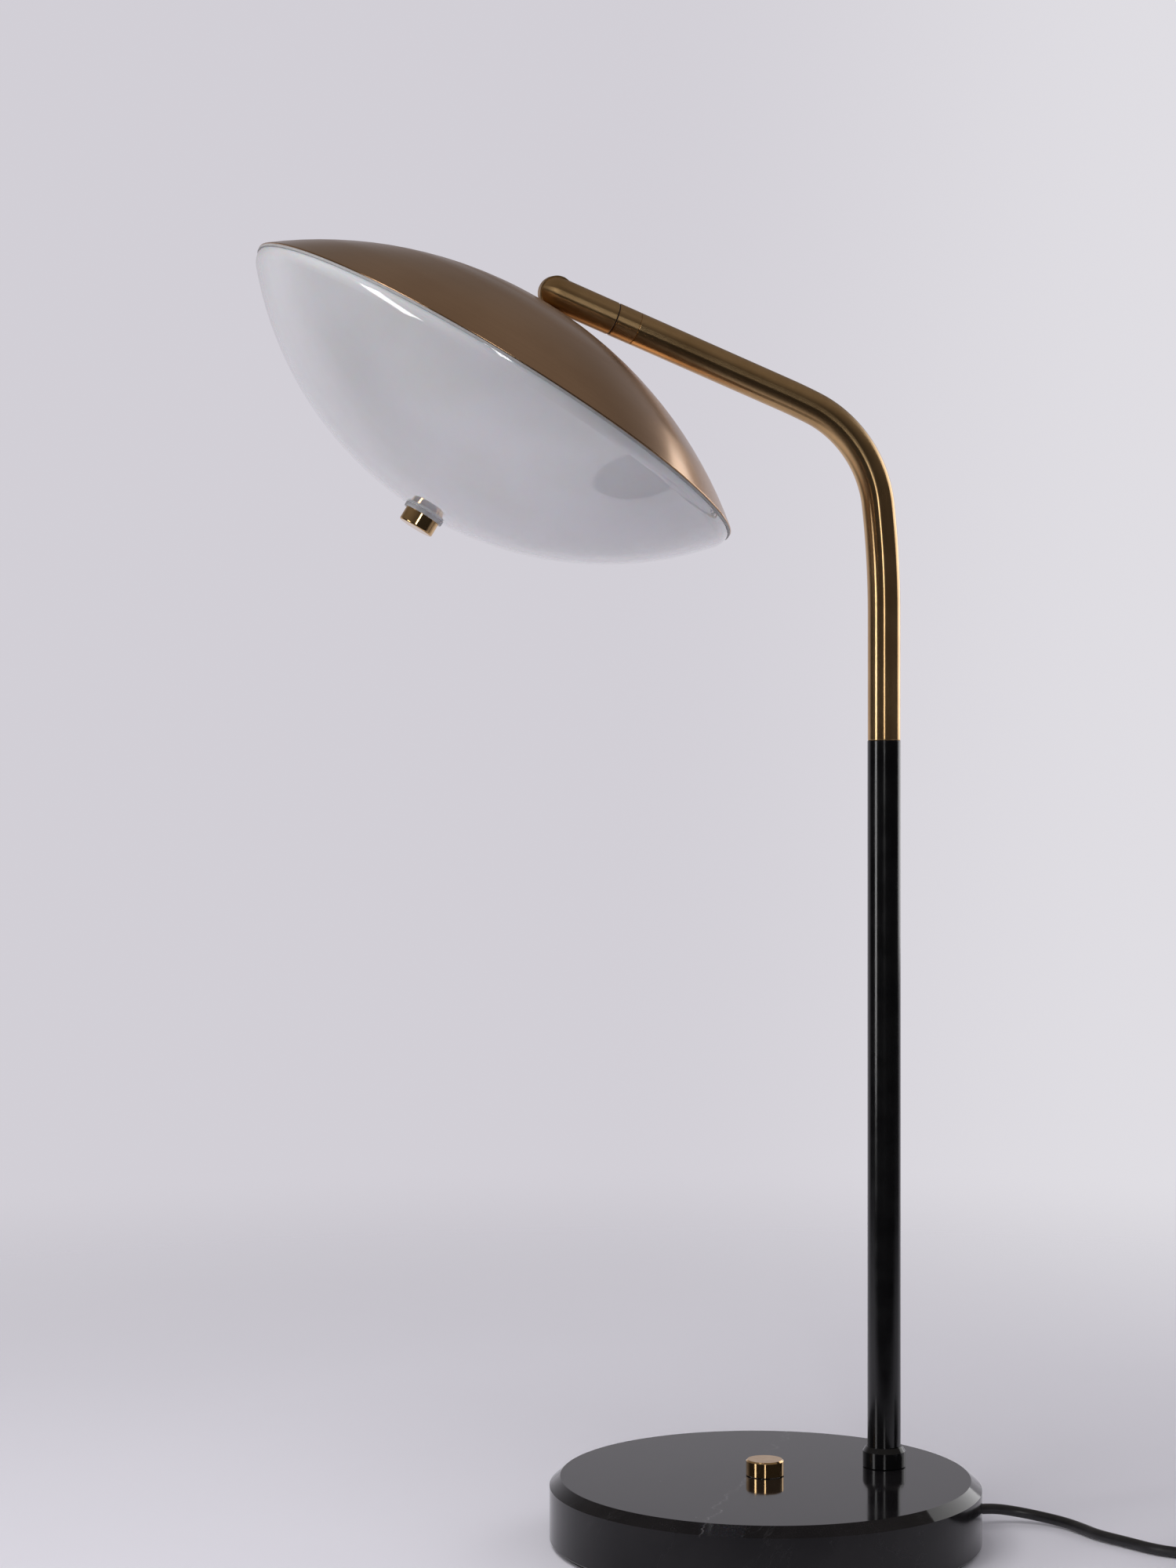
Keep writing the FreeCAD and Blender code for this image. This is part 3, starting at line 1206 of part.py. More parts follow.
def route_points():
    """The free lead from the strain relief, straight out of it, to where the coil starts."""
    level = cord_level.value
    start = Vector(size.base_radius.value + size.relief_outside.value, 0, size.exit_height.value)
    middle = [Vector(across, along, level + rise) for across, along, rise in free_corners]
    middle[0].z = start.z
    end, direction = coil_entry()
    return [start] + middle + [end - direction * size.cord_last_run.value, end]


def coil_point(radius, degrees, height):
    angle = math.radians(degrees)
    return Vector(size.coil_middle_x.value + radius * math.cos(angle),
                  size.coil_middle_y.value + radius * math.sin(angle), height)


def coil_entry():
    """Where the straight start of the coil meets the free lead, and its direction."""
    angle = math.radians(size.coil_start.value + 90)
    direction = Vector(math.cos(angle), math.sin(angle), 0)
    first = coil_point(size.coil_outer.value, size.coil_start.value, cord_level.value)
    return first - direction * (2 * size.cord_radius.value), direction


def coil_stations():
    """The piled spiral at every quarter turn: angle, radius, height and their rates per quarter.

    Each layer winds in or out at a steady rate; the half turn in which the spiral reverses
    keeps its radius and climbs one layer.
    """
    degrees, radius, height = size.coil_start.value, size.coil_outer.value, cord_level.value
    step = (2 * size.cord_radius.value + size.coil_side_gap.value) / 4
    layer = 2 * size.cord_radius.value + size.coil_layer_gap.value
    layers = int(size.coil_layers.value)
    stations = [(degrees, radius, height, 0.0, 0.0)]
    for index in range(layers):
        top = index == layers - 1
        way = -1 if index % 2 == 0 else 1
        quarters = int(size.coil_top_quarters.value if top else size.coil_quarters.value)
        for _ in range(quarters):
            degrees += 90
            radius += way * step
            stations.append((degrees, radius, height, way * step, 0.0))
        if not top:
            for climb in (layer / 2, 0.0):
                degrees += 90
                height += layer / 2
                stations.append((degrees, radius, height, 0.0, climb))
    return stations


def smooth(share):
    """Eases from 0 to 1, and the rate at which it does."""
    share = min(max(share, 0.0), 1.0)
    return share * share * (3 - 2 * share), 6 * share * (1 - share)


def tail_stations(start, pieces=4):
    """The lead leaves the top layer outwards and comes down beside the coil to the plug's height."""
    degrees, radius, height, drift, _ = start
    turn, rest = size.coil_tail_turn.value, size.coil_tail_rest.value
    spread, drop = size.coil_tail_spread.value, height - plug_level.value
    stations = []
    for index in range(1, pieces + 1):
        gone = turn * index / pieces
        moved_out, out_rate = smooth(gone / turn)
        lowered, down_rate = smooth((gone - rest) / (turn - rest))
        stations.append((degrees + gone, radius + drift * gone / 90 + spread * moved_out,
                         height - drop * lowered,
                         drift + spread * out_rate * 90 / turn, -drop * down_rate * 90 / (turn - rest)))
    return stations


def coil_places():
    """Points and tangents of the whole coil, from its straight start to the plug."""
    stations = coil_stations()
    stations += tail_stations(stations[-1])
    places = []
    for degrees, radius, height, drift, climb in stations:
        angle = math.radians(degrees)
        along = Vector(-math.sin(angle), math.cos(angle), 0) * (radius * math.pi / 2)
        outward = Vector(math.cos(angle), math.sin(angle), 0) * drift
        tangent = along + outward + Vector(0, 0, climb)
        places.append((coil_point(radius, degrees, height), tangent.normalize()))
    return places


def coil_end():
    """Where the lead enters the plug, and its direction."""
    point, tangent = coil_places()[-1]
    return point + tangent * (2 * size.cord_radius.value), tangent


def coil_wire():
    """One unbroken line: a straight start, two arcs for each station, and a straight end."""
    places = coil_places()
    edges = [Part.LineSegment(coil_entry()[0], places[0][0]).toShape()]
    for (point, tangent), (end, end_tangent) in zip(places, places[1:]):
        edges += biarc(point, tangent, end, end_tangent)
    edges.append(Part.LineSegment(places[-1][0], coil_end()[0]).toShape())
    return Part.Wire(edges)


def biarc(start, start_tangent, end, end_tangent):
    """Two arcs that join two points and keep both tangents."""
    chord = end - start
    both = start_tangent + end_tangent
    spread = 2 * (1 - start_tangent.dot(end_tangent))
    lean = chord.dot(both)
    if spread < 1e-9:
        reach = chord.dot(chord) / (2 * lean)
    else:
        reach = (-lean + math.sqrt(lean * lean + spread * chord.dot(chord))) / spread
    joint = (start + end + (start_tangent - end_tangent) * reach) * 0.5
    return [tangent_arc(start, start_tangent, joint), tangent_arc(end, -end_tangent, joint)]


def tangent_arc(start, tangent, end):
    """Arc that leaves start along the tangent and arrives at end."""
    chord = end - start
    across = chord - tangent * chord.dot(tangent)
    if across.Length < 1e-7:
        return Part.LineSegment(start, end).toShape()
    outward = Vector(across).normalize()
    radius = chord.dot(chord) / (2 * chord.dot(outward))
    centre = start + outward * radius
    middle = (start + end) * 0.5 - centre
    return Part.Arc(start, centre + middle.normalize() * radius, end).toShape()


def least_gap(wire, radius):
    """Smallest distance from the tube to itself, measured on points along its axis."""
    spacing = radius / 2
    points = wire.discretize(Distance=spacing)
    skip = int(math.pi * size.coil_outer.value / 2 / spacing)
    cell = radius * 4
    grid = {}
    for index, point in enumerate(points):
        key = tuple(int(math.floor(value / cell)) for value in point)
        grid.setdefault(key, []).append(index)
    least = cell
    for key, members in grid.items():
        near = [other for a in (-1, 0, 1) for b in (-1, 0, 1) for c in (-1, 0, 1)
                for other in grid.get((key[0] + a, key[1] + b, key[2] + c), ())]
        for index in members:
            for other in near:
                if other - index > skip:
                    least = min(least, (points[index] - points[other]).Length)
    return least - 2 * radius


def leads():
    radius = size.cord_radius.value
    wire, radii = tube_wire(route_points())
    shape = tube_shape(wire, radius)
    report_tube("mains_cord", shape, wire, radii, radius)
    print("mains_cord bends:", ", ".join("%.1f" % bend for bend in radii))
    add_shape("mains_cord", shape)

    coil = coil_wire()
    bends = [edge.Curve.Radius for edge in coil.OrderedEdges if hasattr(edge.Curve, "Radius")]
    shape = tube_shape(coil, radius)
    report_tube("cord_coil", shape, coil, bends, radius)
    print("cord_coil least gap to itself %.2f mm" % least_gap(coil, radius))
    add_shape("cord_coil", shape)
    print("lead outside the lamp %.0f mm" % (wire.Length + coil.Length))

    # the lead inside the base runs from the strain relief through the saddle to the terminal block
    inside = size.cavity_radius.value - size.relief_play.value - size.relief_inside.value
    height = size.exit_height.value
    points = [Vector(inside, 0, height), Vector(inside - size.tail_start.value, 0, height)]
    points += [Vector(across, along, height) for across, along in tail_corners]
    tail, tail_radii = tube_wire(points)
    shape = tube_shape(tail, radius)
    report_tube("lead_tail", shape, tail, tail_radii, radius)
    add_shape("lead_tail", shape)


# the lead inside the head: corners after the stud, across and below its end
stud_lead_corners = ((0.0, 5.5), (8.5, 11.5))
# then corners before the terminal, short of its face and below its middle
terminal_lead_corners = ((26.0, 1.5), (13.0, 0.0))


def head_lead():
    """Thin lead from the stud, out of the open frame and across to the board's terminal."""
    radius = size.inner_lead_radius.value
    start, level = stud_low.value, board_low.value - size.terminal_rise.value / 2
    end = size.board_inner.value
    points = [Vector(0, 0, start)]
    points += [Vector(0, across, start - drop) for across, drop in stud_lead_corners]
    points += [Vector(0, end - short, level - drop) for short, drop in terminal_lead_corners]
    points.append(Vector(0, end, level))
    wire, radii = tube_wire(points)
    shape = tube_shape(wire, radius)
    report_tube("head_lead", shape, wire, radii, radius)
    add_shape("head_lead", shape, head_frame)


def plug():
    """Flat two-pin plug with a tapered boot; its frame has +X from the lead to the pins."""
    end, direction = coil_end()
    place = Placement(end, Rotation(Z, math.degrees(math.atan2(direction.y, direction.x))))
    body = new_body("plug_body", place)
    boot, half, waist = size.plug_boot_length, size.plug_width / 2, size.plug_waist / 2
    far, shoulder = boot + size.plug_length, boot + size.plug_length - size.plug_shoulder
    flat = new_sketch(body, "XY_Plane")
    outline(flat, ((boot, -waist), (shoulder, -half), (far, -half), (far, half), (shoulder, half), (boot, waist)))
    pad(body, flat, size.plug_thick, midplane=True)
    rounded(body, size.plug_fillet,
            lambda point: abs(point.z) > same or abs(abs(point.y) - half.value) < same)
    run, tip = boot / (groove_count + 1), size.cord_radius + size.plug_boot_wall
    step = (size.plug_boot_radius - tip) / groove_count
    profile = [(boot + run / 2, 0), (0, 0), (0, tip)]
    for index in range(groove_count):
        start, here = run * (index + 0.5), tip + step * (index + 0.5)
        profile += [(start, here), (start, here - size.relief_groove),
                    (start + run / 2, here - size.relief_groove), (start + run / 2, here)]
    profile += [(boot, size.plug_boot_radius), (boot + run / 2, size.plug_boot_radius)]
    turned(body, profile, axis="H_Axis")

    prongs = new_body("plug_pins", place)
    sketch = new_sketch(prongs, "YZ_Plane", far - size.prong_seat)
    pin_pair(sketch)
    pad(prongs, sketch, size.prong_seat + size.prong_length)
    reach = far.value + size.prong_length.value
    rounded(prongs, size.prong_edge, lambda point: abs(point.x - reach) < same)
    holes = new_sketch(body, "YZ_Plane", far)
    pin_pair(holes)
    slot_cut(body, holes, size.prong_seat)


def pin_pair(sketch):
    for side in (size.prong_spacing / 2, -(size.prong_spacing / 2)):
        circle(sketch, side, 0, size.prong_radius)


# ---------------------------------------------------------------- build and write
base_stone()
base_pad()
base_plate()
plate_fasteners()
dimmer()
pole()
arm()
swivel()
knuckle()
knuckle_lead()
hinge_hardware()
hinge_tongue()
dome_shell()
dome_fasteners()
light_tray()
light_board()
rod_bridge()
diffuser_bowl()
bowl_hardware()
base_inside()
cord_relief()
leads()
head_lead()
plug()
doc.recompute()

for item in doc.Objects:
    if "Invalid" in item.State or "Error" in item.State:
        raise RuntimeError("%s failed: %s" % (item.Label, item.State))
for part in parts:
    if part.Shape.isNull() or not part.Shape.isValid() or not part.Shape.Solids:
        raise RuntimeError("%s has no valid solid" % part.Label)

os.makedirs("parts", exist_ok=True)
for part in parts:
    part.Shape.exportStep(os.path.join("parts", part.Label + ".step"))
print("%d nodes written" % len(parts))
print("hinge pin at %.4f %.4f %.4f, swivel axis %.6f %.6f %.6f, tilt axis %.6f %.6f %.6f"
      % (*hinge_frame.Base, *hinge_frame.Rotation.multVec(Z), *hinge_frame.Rotation.multVec(Y)))
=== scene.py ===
import json
import math
import bpy
import numpy as np
from mathutils import Matrix, Vector


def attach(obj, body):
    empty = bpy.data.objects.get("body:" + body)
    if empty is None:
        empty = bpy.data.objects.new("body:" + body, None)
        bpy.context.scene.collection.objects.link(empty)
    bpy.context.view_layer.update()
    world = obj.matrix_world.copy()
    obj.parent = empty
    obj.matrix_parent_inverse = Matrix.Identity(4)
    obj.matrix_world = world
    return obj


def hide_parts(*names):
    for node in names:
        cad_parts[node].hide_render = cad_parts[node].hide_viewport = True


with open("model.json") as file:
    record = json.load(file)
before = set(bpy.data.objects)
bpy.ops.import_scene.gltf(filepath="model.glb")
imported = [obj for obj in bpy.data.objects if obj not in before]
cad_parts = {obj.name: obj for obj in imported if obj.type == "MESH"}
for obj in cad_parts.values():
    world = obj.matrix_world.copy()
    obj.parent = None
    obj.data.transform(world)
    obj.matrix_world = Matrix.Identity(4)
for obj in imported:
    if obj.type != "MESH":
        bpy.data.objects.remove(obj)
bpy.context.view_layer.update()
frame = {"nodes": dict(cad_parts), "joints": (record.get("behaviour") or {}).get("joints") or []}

# Desk lamp with a stone base, a bent brass arm, a slotted ball-nosed hinge and a shallow dome.
# Metres, +Z up, origin under the middle of the base; the pole stands at +X, the viewer at -Y.
nodes = frame["nodes"]
millimetre = 0.001


# camera: level, a quarter turn up from the floor, then turned about the vertical
photoView = {"place": (-0.5138, -1.3266, 0.36074), "turn": -17.78, "lens": 68.53}


def makeCamera(place, turn, lens):
    camera = bpy.data.objects.new("photoView", bpy.data.cameras.new("photoView"))
    bpy.context.collection.objects.link(camera)
    camera.data.lens = lens
    camera.location = place
    camera.rotation_euler = (math.pi / 2, 0, math.radians(turn))
    bpy.context.scene.camera = camera


makeCamera(**photoView)
bpy.context.scene.view_settings.view_transform = "Standard"
print("camera ready")


# mesh helpers
def meshObject(name, points, faces, body):
    mesh = bpy.data.meshes.new(name)
    mesh.from_pydata(points.reshape(-1, 3).tolist(), [], faces)
    mesh.polygons.foreach_set("use_smooth", np.full(len(mesh.polygons), True))
    mesh.update()
    piece = bpy.data.objects.new(name, mesh)
    bpy.context.collection.objects.link(piece)
    if body:
        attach(piece, body)
    return piece


def gridFaces(rows, columns):
    # quads between neighbouring rows of a grid; the last column joins the first
    row, column = np.meshgrid(np.arange(rows - 1), np.arange(columns), indexing="ij")
    after = (column + 1) % columns
    here, there = row * columns, (row + 1) * columns
    quads = np.stack([here + column, here + after, there + after, there + column], axis=-1)
    return quads.reshape(-1, 4)


def vectorAttribute(mesh, name, values):
    layer = mesh.attributes.new(name, "FLOAT_VECTOR", "POINT")
    layer.data.foreach_set("vector", np.ascontiguousarray(values, dtype=np.float32).ravel())


def sweptTube(name, path, profile, sides, body, levelAxis=(0, 0, 1)):
    # profile rows are (index of a path point, half width, half height and, where given, a shift); a
    # ring is path + shift * along + width * cos(a) * side + height * sin(a) * up, where side is
    # square to the path and to the given axis, and up is square to both
    along = np.gradient(path, axis=0)
    along /= np.linalg.norm(along, axis=1, keepdims=True)
    side = np.cross(along, np.array(levelAxis, dtype=float))
    side /= np.linalg.norm(side, axis=1, keepdims=True)
    up = np.cross(side, along)
    travelled = np.concatenate([[0.0], np.cumsum(np.linalg.norm(np.diff(path, axis=0), axis=1))])
    index = profile[:, 0].astype(int)
    angle = np.linspace(0, 2 * math.pi, sides, endpoint=False)
    wide, high = profile[:, 1, None, None], profile[:, 2, None, None]
    shift = profile[:, 3, None, None] if profile.shape[1] > 3 else 0.0
    rings = (path[index, None] + along[index, None] * shift
             + side[index, None] * wide * np.cos(angle)[None, :, None]
             + up[index, None] * high * np.sin(angle)[None, :, None])
    faces = gridFaces(len(profile), sides)
    piece = meshObject(name, rings, faces.tolist(), body)
    lie = np.stack([np.broadcast_to(profile[:, 1, None] * np.cos(angle), rings.shape[:2]),
                    np.broadcast_to(profile[:, 2, None] * np.sin(angle), rings.shape[:2]),
                    np.broadcast_to(travelled[index, None], rings.shape[:2])], axis=-1)
    vectorAttribute(piece.data, "lie", lie.reshape(-1, 3))
    vectorAttribute(piece.data, "run", np.broadcast_to(along[index, None], rings.shape).reshape(-1, 3))
    return piece


# mains lead: the route's points, then a coil that winds in and out in four layers, then the plug
lead = {
    "exit": (110.0, 0.0, 7.5),
    "corners": ((118.9, 0.0, 7.5), (132.0, -3.3, 5.3), (142.6, -11.7, 3.6), (148.4, -21.8, 3.0),
                (150.7, -33.3, 2.9), (152.2, -46.8, 2.9), (159.2, -62.6, 2.8), (165.2, -78.9, 2.8),
                (175.7, -90.3, 2.7)),
    "lastRun": 12.5, "radius": 2.6, "level": 2.7, "length": 1790.0,
    "coilMiddle": (222.1, -87.3), "coilOuter": 36.8, "coilStart": 225.0,
    "quarterStep": 1.65, "layerStep": 5.8, "quarters": (7, 7, 7, 5), "climbQuarters": 2,
    "tailTurn": 130.0, "tailRest": 40.0, "tailSpread": 17.0, "plugLevel": 6.95, "straight": 5.2,
    "perTurn": 16, "tailPoints": 6, "outsideShare": 0.5, "curveSteps": 6, "sides": 20,
    "width": 2.6, "height": 2.5, "tip": 0.02,
}
quarterTurn = 90


def coilPoints(s):
    # angle grows steadily; the radius goes in or out by one step a quarter, holds while the turn
    # climbs a layer, and in the tail it spreads while the height eases down
    quarter, radius, height = [0.0], [s["coilOuter"]], [s["level"]]
    for layer, count in enumerate(s["quarters"]):
        way = -1 if layer % 2 == 0 else 1
        quarter.append(quarter[-1] + count)
        radius.append(radius[-1] + way * count * s["quarterStep"])
        height.append(height[-1])
        if layer < len(s["quarters"]) - 1:
            quarter.append(quarter[-1] + s["climbQuarters"])
            radius.append(radius[-1])
            height.append(height[-1] + s["layerStep"])
    step = 4.0 / s["perTurn"]
    turns = np.arange(0.0, quarter[-1] + step / 2, step)
    radii = np.interp(turns, quarter, radius)
    rises = np.interp(turns, quarter, height)
    gone = np.linspace(0, s["tailTurn"], s["tailPoints"] + 1)[1:]
    share = gone / s["tailTurn"]
    fall = np.clip((gone - s["tailRest"]) / (s["tailTurn"] - s["tailRest"]), 0, 1)
    ease, drop = share ** 2 * (3 - 2 * share), fall ** 2 * (3 - 2 * fall)
    tailRadii = radii[-1] + s["quarterStep"] * gone / quarterTurn + s["tailSpread"] * ease
    tailRises = rises[-1] - (rises[-1] - s["plugLevel"]) * drop
    turned = np.concatenate([turns * quarterTurn, turns[-1] * quarterTurn + gone])
    angle = np.radians(s["coilStart"] + turned)
    # control points stand a little outside the turn, because the spline cuts inside them
    outside = 2 / (1 + math.cos(2 * math.pi / s["perTurn"]))
    reach = np.concatenate([radii, tailRadii]) * (1 + (outside - 1) * s["outsideShare"])
    middle = s["coilMiddle"]
    return np.stack([middle[0] + reach * np.cos(angle), middle[1] + reach * np.sin(angle),
                     np.concatenate([rises, tailRises])], axis=1)


def leadRoute(s):
    coil = coilPoints(s)
    start = math.radians(s["coilStart"])
    into = np.array([-math.sin(start), math.cos(start), 0.0])
    entry = coil[0] - into * s["straight"]
    ahead = coil[-1] - coil[-2]
    ahead[2] = 0.0
    end = coil[-1] + ahead / np.linalg.norm(ahead) * s["straight"]
    free = np.array([s["exit"], *s["corners"], entry - into * s["lastRun"]])
    return np.concatenate([free, [entry], coil, [end]]) * millimetre


def splinePath(points, steps):
    # the route's own NURBS line, read back as points; order and end rule come after the points
    curve = bpy.data.curves.new("leadLine", "CURVE")
    curve.dimensions = "3D"
    spline = curve.splines.new("NURBS")
    spline.points.add(len(points) - 1)
    spline.points.foreach_set("co", np.c_[points, np.ones(len(points))].ravel())
    spline.order_u = 3
    spline.use_endpoint_u = True
    spline.resolution_u = steps
    line = bpy.data.objects.new("leadLine", curve)
    mesh = bpy.data.meshes.new_from_object(line)
    path = np.empty(len(mesh.vertices) * 3)
    mesh.vertices.foreach_get("co", path)
    bpy.data.objects.remove(line)
    return path.reshape(-1, 3)


def makeLead(s):
    path = splinePath(leadRoute(s), s["curveSteps"])
    wide, high = s["width"] * millimetre, s["height"] * millimetre
    index = np.arange(len(path))
    body = np.c_[index, np.full(len(index), wide), np.full(len(index), high)]
    tips = np.array([[end, wide * s["tip"], high * s["tip"]] for end in (0, index[-1])])
    piece = sweptTube("mainsLead", path, np.concatenate([tips[:1], body, tips[1:]]), s["sides"],
                      "stand")
    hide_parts("mains_cord", "cord_coil")
    return piece


mainsLead = makeLead(lead)
print("mains lead ready")


# brass arm: straight, a soft start, the main bend, a soft end, straight
arm = {
    "foot": (61.5, 0.0, 381.7), "outer": 7.9, "bore": 6.5, "edge": 0.35,
    "runs": ((60.7, 0.0), (454.0, 6.65), (56.9, 59.85), (291.5, 3.1), (80.33, 0.0)),
    "sides": 96, "spacing": 1.0, "fineness": 20, "edgePoints": 5,
}


def armPath(s):
    # a run is (length, 0) where it is straight and (radius, degrees) where it bends;
    # heading = the integral of the bend per length; place = the integral of the heading
    lengths = np.array([size * math.radians(turn) if turn else size for size, turn in s["runs"]])
    stations = np.concatenate([[0.0], np.cumsum(lengths)])
    headings = np.concatenate([[0.0], np.cumsum([math.radians(turn) for _, turn in s["runs"]])])
    fine = np.linspace(0, stations[-1], int(stations[-1] * s["fineness"]) + 1)
    middle = (fine[1:] + fine[:-1]) / 2
    heading = np.interp(middle, stations, headings)
    step = np.diff(fine)
    across = np.concatenate([[0.0], np.cumsum(-np.sin(heading) * step)])
    rise = np.concatenate([[0.0], np.cumsum(np.cos(heading) * step)])
    keep = np.linspace(0, len(fine) - 1, int(stations[-1] / s["spacing"])).astype(int)
    foot = np.array(s["foot"])
    return (foot + np.stack([across[keep], np.zeros(len(keep)), rise[keep]], axis=1)) * millimetre


def makeArm(s):
    path = armPath(s)
    last = len(path) - 1
    outer, bore, edge = (s[key] * millimetre for key in ("outer", "bore", "edge"))
    corner = np.linspace(0, math.pi / 2, s["edgePoints"])
    start = np.c_[0 * corner, outer - edge + edge * np.sin(corner), edge - edge * np.cos(corner)]
    end = np.c_[0 * corner + last, outer - edge + edge * np.cos(corner), -edge + edge * np.sin(corner)]
    middle = np.c_[np.arange(1, last), np.full(last - 1, outer), np.zeros(last - 1)]
    inside = np.c_[np.arange(last, -1, -1), np.full(last + 1, bore), np.zeros(last + 1)]
    rows = np.concatenate([[[0, bore, 0]], start, middle, end, inside])
    profile = np.c_[rows[:, 0], rows[:, 1], rows[:, 1], rows[:, 2]]
    piece = sweptTube("armTube", path, profile, s["sides"], "stand", levelAxis=(0, 1, 0))
    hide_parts("arm_tube")
    return piece


armTube = makeArm(arm)
print("arm ready")


# the hinge: from the record's joints, the head's own up axis is the swivel axis tilted about the pin
hinge = {"restTilt": 99.8, "pinHeight": 55.805}
joints = {joint["name"]: joint for joint in frame["joints"]}
pinPlace = Vector(joints["head_tilt"]["pos_m"])
swivelAxis = Vector(joints["head_swivel"]["axis"])
tiltAxis = Vector(joints["head_tilt"]["axis"])
headUp = Matrix.Rotation(math.radians(hinge["restTilt"]), 3, tiltAxis) @ swivelAxis
headPlace = pinPlace - headUp * hinge["pinHeight"] * millimetre


# node helpers
def addNode(tree, kind, inputs=None, **settings):
    made = tree.nodes.new(kind)
    for key, value in settings.items():
        setattr(made, key, value)
    for key, value in (inputs or {}).items():
        if isinstance(value, bpy.types.NodeSocket):
            tree.links.new(value, made.inputs[key])
        else:
            made.inputs[key].default_value = value
    return made


def calc(tree, operation, first, second=0.0):
    return addNode(tree, "ShaderNodeMath", {0: first, 1: second}, operation=operation).outputs[0]


def newGroup(name, takes, gives):
    group = bpy.data.node_groups.new(name, "ShaderNodeTree")
    for label, kind, value in takes:
        socket = group.interface.new_socket(name=label, in_out="INPUT", socket_type=kind)
        if value is not None:
            socket.default_value = value
    for label, kind in gives:
        group.interface.new_socket(name=label, in_out="OUTPUT", socket_type=kind)
    return group, group.nodes.new("NodeGroupInput").outputs, group.nodes.new("NodeGroupOutput").inputs


def useGroup(tree, group, **inputs):
    return addNode(tree, "ShaderNodeGroup", inputs, node_tree=group).outputs


# brushed lines: noise that is narrow across a piece and long along its third axis
def makeBrushedLines():
    group, take, give = newGroup(
        "brushedLines",
        (("Vector", "NodeSocketVector", None), ("Width", "NodeSocketFloat", 0.0002),
         ("Length", "NodeSocketFloat", 0.03)),
        (("Fine", "NodeSocketFloat"), ("Broad", "NodeSocketFloat")))
    split = addNode(group, "ShaderNodeSeparateXYZ", {0: take["Vector"]}).outputs
    for output, wider in (("Fine", 1.0), ("Broad", 7.0)):
        width = calc(group, "MULTIPLY", take["Width"], wider)
        length = calc(group, "MULTIPLY", take["Length"], wider ** 0.5)
        place = addNode(group, "ShaderNodeCombineXYZ", {
            0: calc(group, "DIVIDE", split[0], width), 1: calc(group, "DIVIDE", split[1], width),
            2: calc(group, "DIVIDE", split[2], length)}).outputs[0]
        noise = addNode(group, "ShaderNodeTexNoise", {"Vector": place, "Scale": 1.0, "Detail": 3.0,
                                                      "Roughness": 0.6})
        group.links.new(noise.outputs[0], give[output])
    return group


# lathe rings: noise on radius plus height, so lines run round both the faces and the sides
def makeTurnedRings():
    group, take, give = newGroup(
        "turnedRings",
        (("Vector", "NodeSocketVector", None), ("Pitch", "NodeSocketFloat", 0.0003)),
        (("Rings", "NodeSocketFloat"), ("Bands", "NodeSocketFloat")))
    split = addNode(group, "ShaderNodeSeparateXYZ", {0: take["Vector"]}).outputs
    squares = calc(group, "ADD", calc(group, "POWER", split[0], 2.0), calc(group, "POWER", split[1], 2.0))
    reach = calc(group, "ADD", calc(group, "SQRT", squares), split[2])
    for output, wider in (("Rings", 1.0), ("Bands", 12.0)):
        place = calc(group, "DIVIDE", reach, calc(group, "MULTIPLY", take["Pitch"], wider))
        noise = addNode(group, "ShaderNodeTexNoise", {"W": place, "Scale": 1.0, "Detail": 2.0},
                        noise_dimensions="1D")
        group.links.new(noise.outputs[0], give[output])
    return group


# mottle: soft patches between a low and a high value
def makeMottle():
    group, take, give = newGroup(
        "mottle",
        (("Vector", "NodeSocketVector", None), ("Size", "NodeSocketFloat", 0.01),
         ("Low", "NodeSocketFloat", 0.0), ("High", "NodeSocketFloat", 1.0)),
        (("Value", "NodeSocketFloat"),))
    place = addNode(group, "ShaderNodeVectorMath", {
        0: take["Vector"], "Scale": calc(group, "DIVIDE", 1.0, take["Size"])}, operation="SCALE").outputs[0]
    noise = addNode(group, "ShaderNodeTexNoise", {"Vector": place, "Scale": 1.0, "Detail": 4.0,
                                                  "Roughness": 0.55})
    spread = addNode(group, "ShaderNodeMapRange", {
        0: noise.outputs[0], 1: 0.3, 2: 0.7, 3: take["Low"], 4: take["High"]},
        interpolation_type="SMOOTHSTEP")
    group.links.new(spread.outputs[0], give["Value"])
    return group


# settled dust: grows with how far a face looks up, broken by small patches
def makeDust():
    group, take, give = newGroup(
        "settledDust",
        (("Vector", "NodeSocketVector", None), ("Amount", "NodeSocketFloat", 0.1),
         ("Grain", "NodeSocketFloat", 0.0006)),
        (("Mask", "NodeSocketFloat"),))
    normal = addNode(group, "ShaderNodeNewGeometry").outputs["Normal"]
    up = addNode(group, "ShaderNodeSeparateXYZ", {0: normal}).outputs[2]
    facing = addNode(group, "ShaderNodeMapRange", {0: up, 1: 0.3, 2: 1.0}).outputs[0]
    place = addNode(group, "ShaderNodeVectorMath", {
        0: take["Vector"], "Scale": calc(group, "DIVIDE", 1.0, take["Grain"])}, operation="SCALE").outputs[0]
    specks = addNode(group, "ShaderNodeTexNoise", {"Vector": place, "Scale": 1.0, "Detail": 2.0})
    sharp = addNode(group, "ShaderNodeMapRange", {0: specks.outputs[0], 1: 0.55, 2: 0.75}).outputs[0]
    mask = calc(group, "MULTIPLY", calc(group, "MULTIPLY", facing, sharp), take["Amount"])
    group.links.new(mask, give["Mask"])
    return group


brushedLines = makeBrushedLines()
turnedRings = makeTurnedRings()
mottle = makeMottle()
settledDust = makeDust()


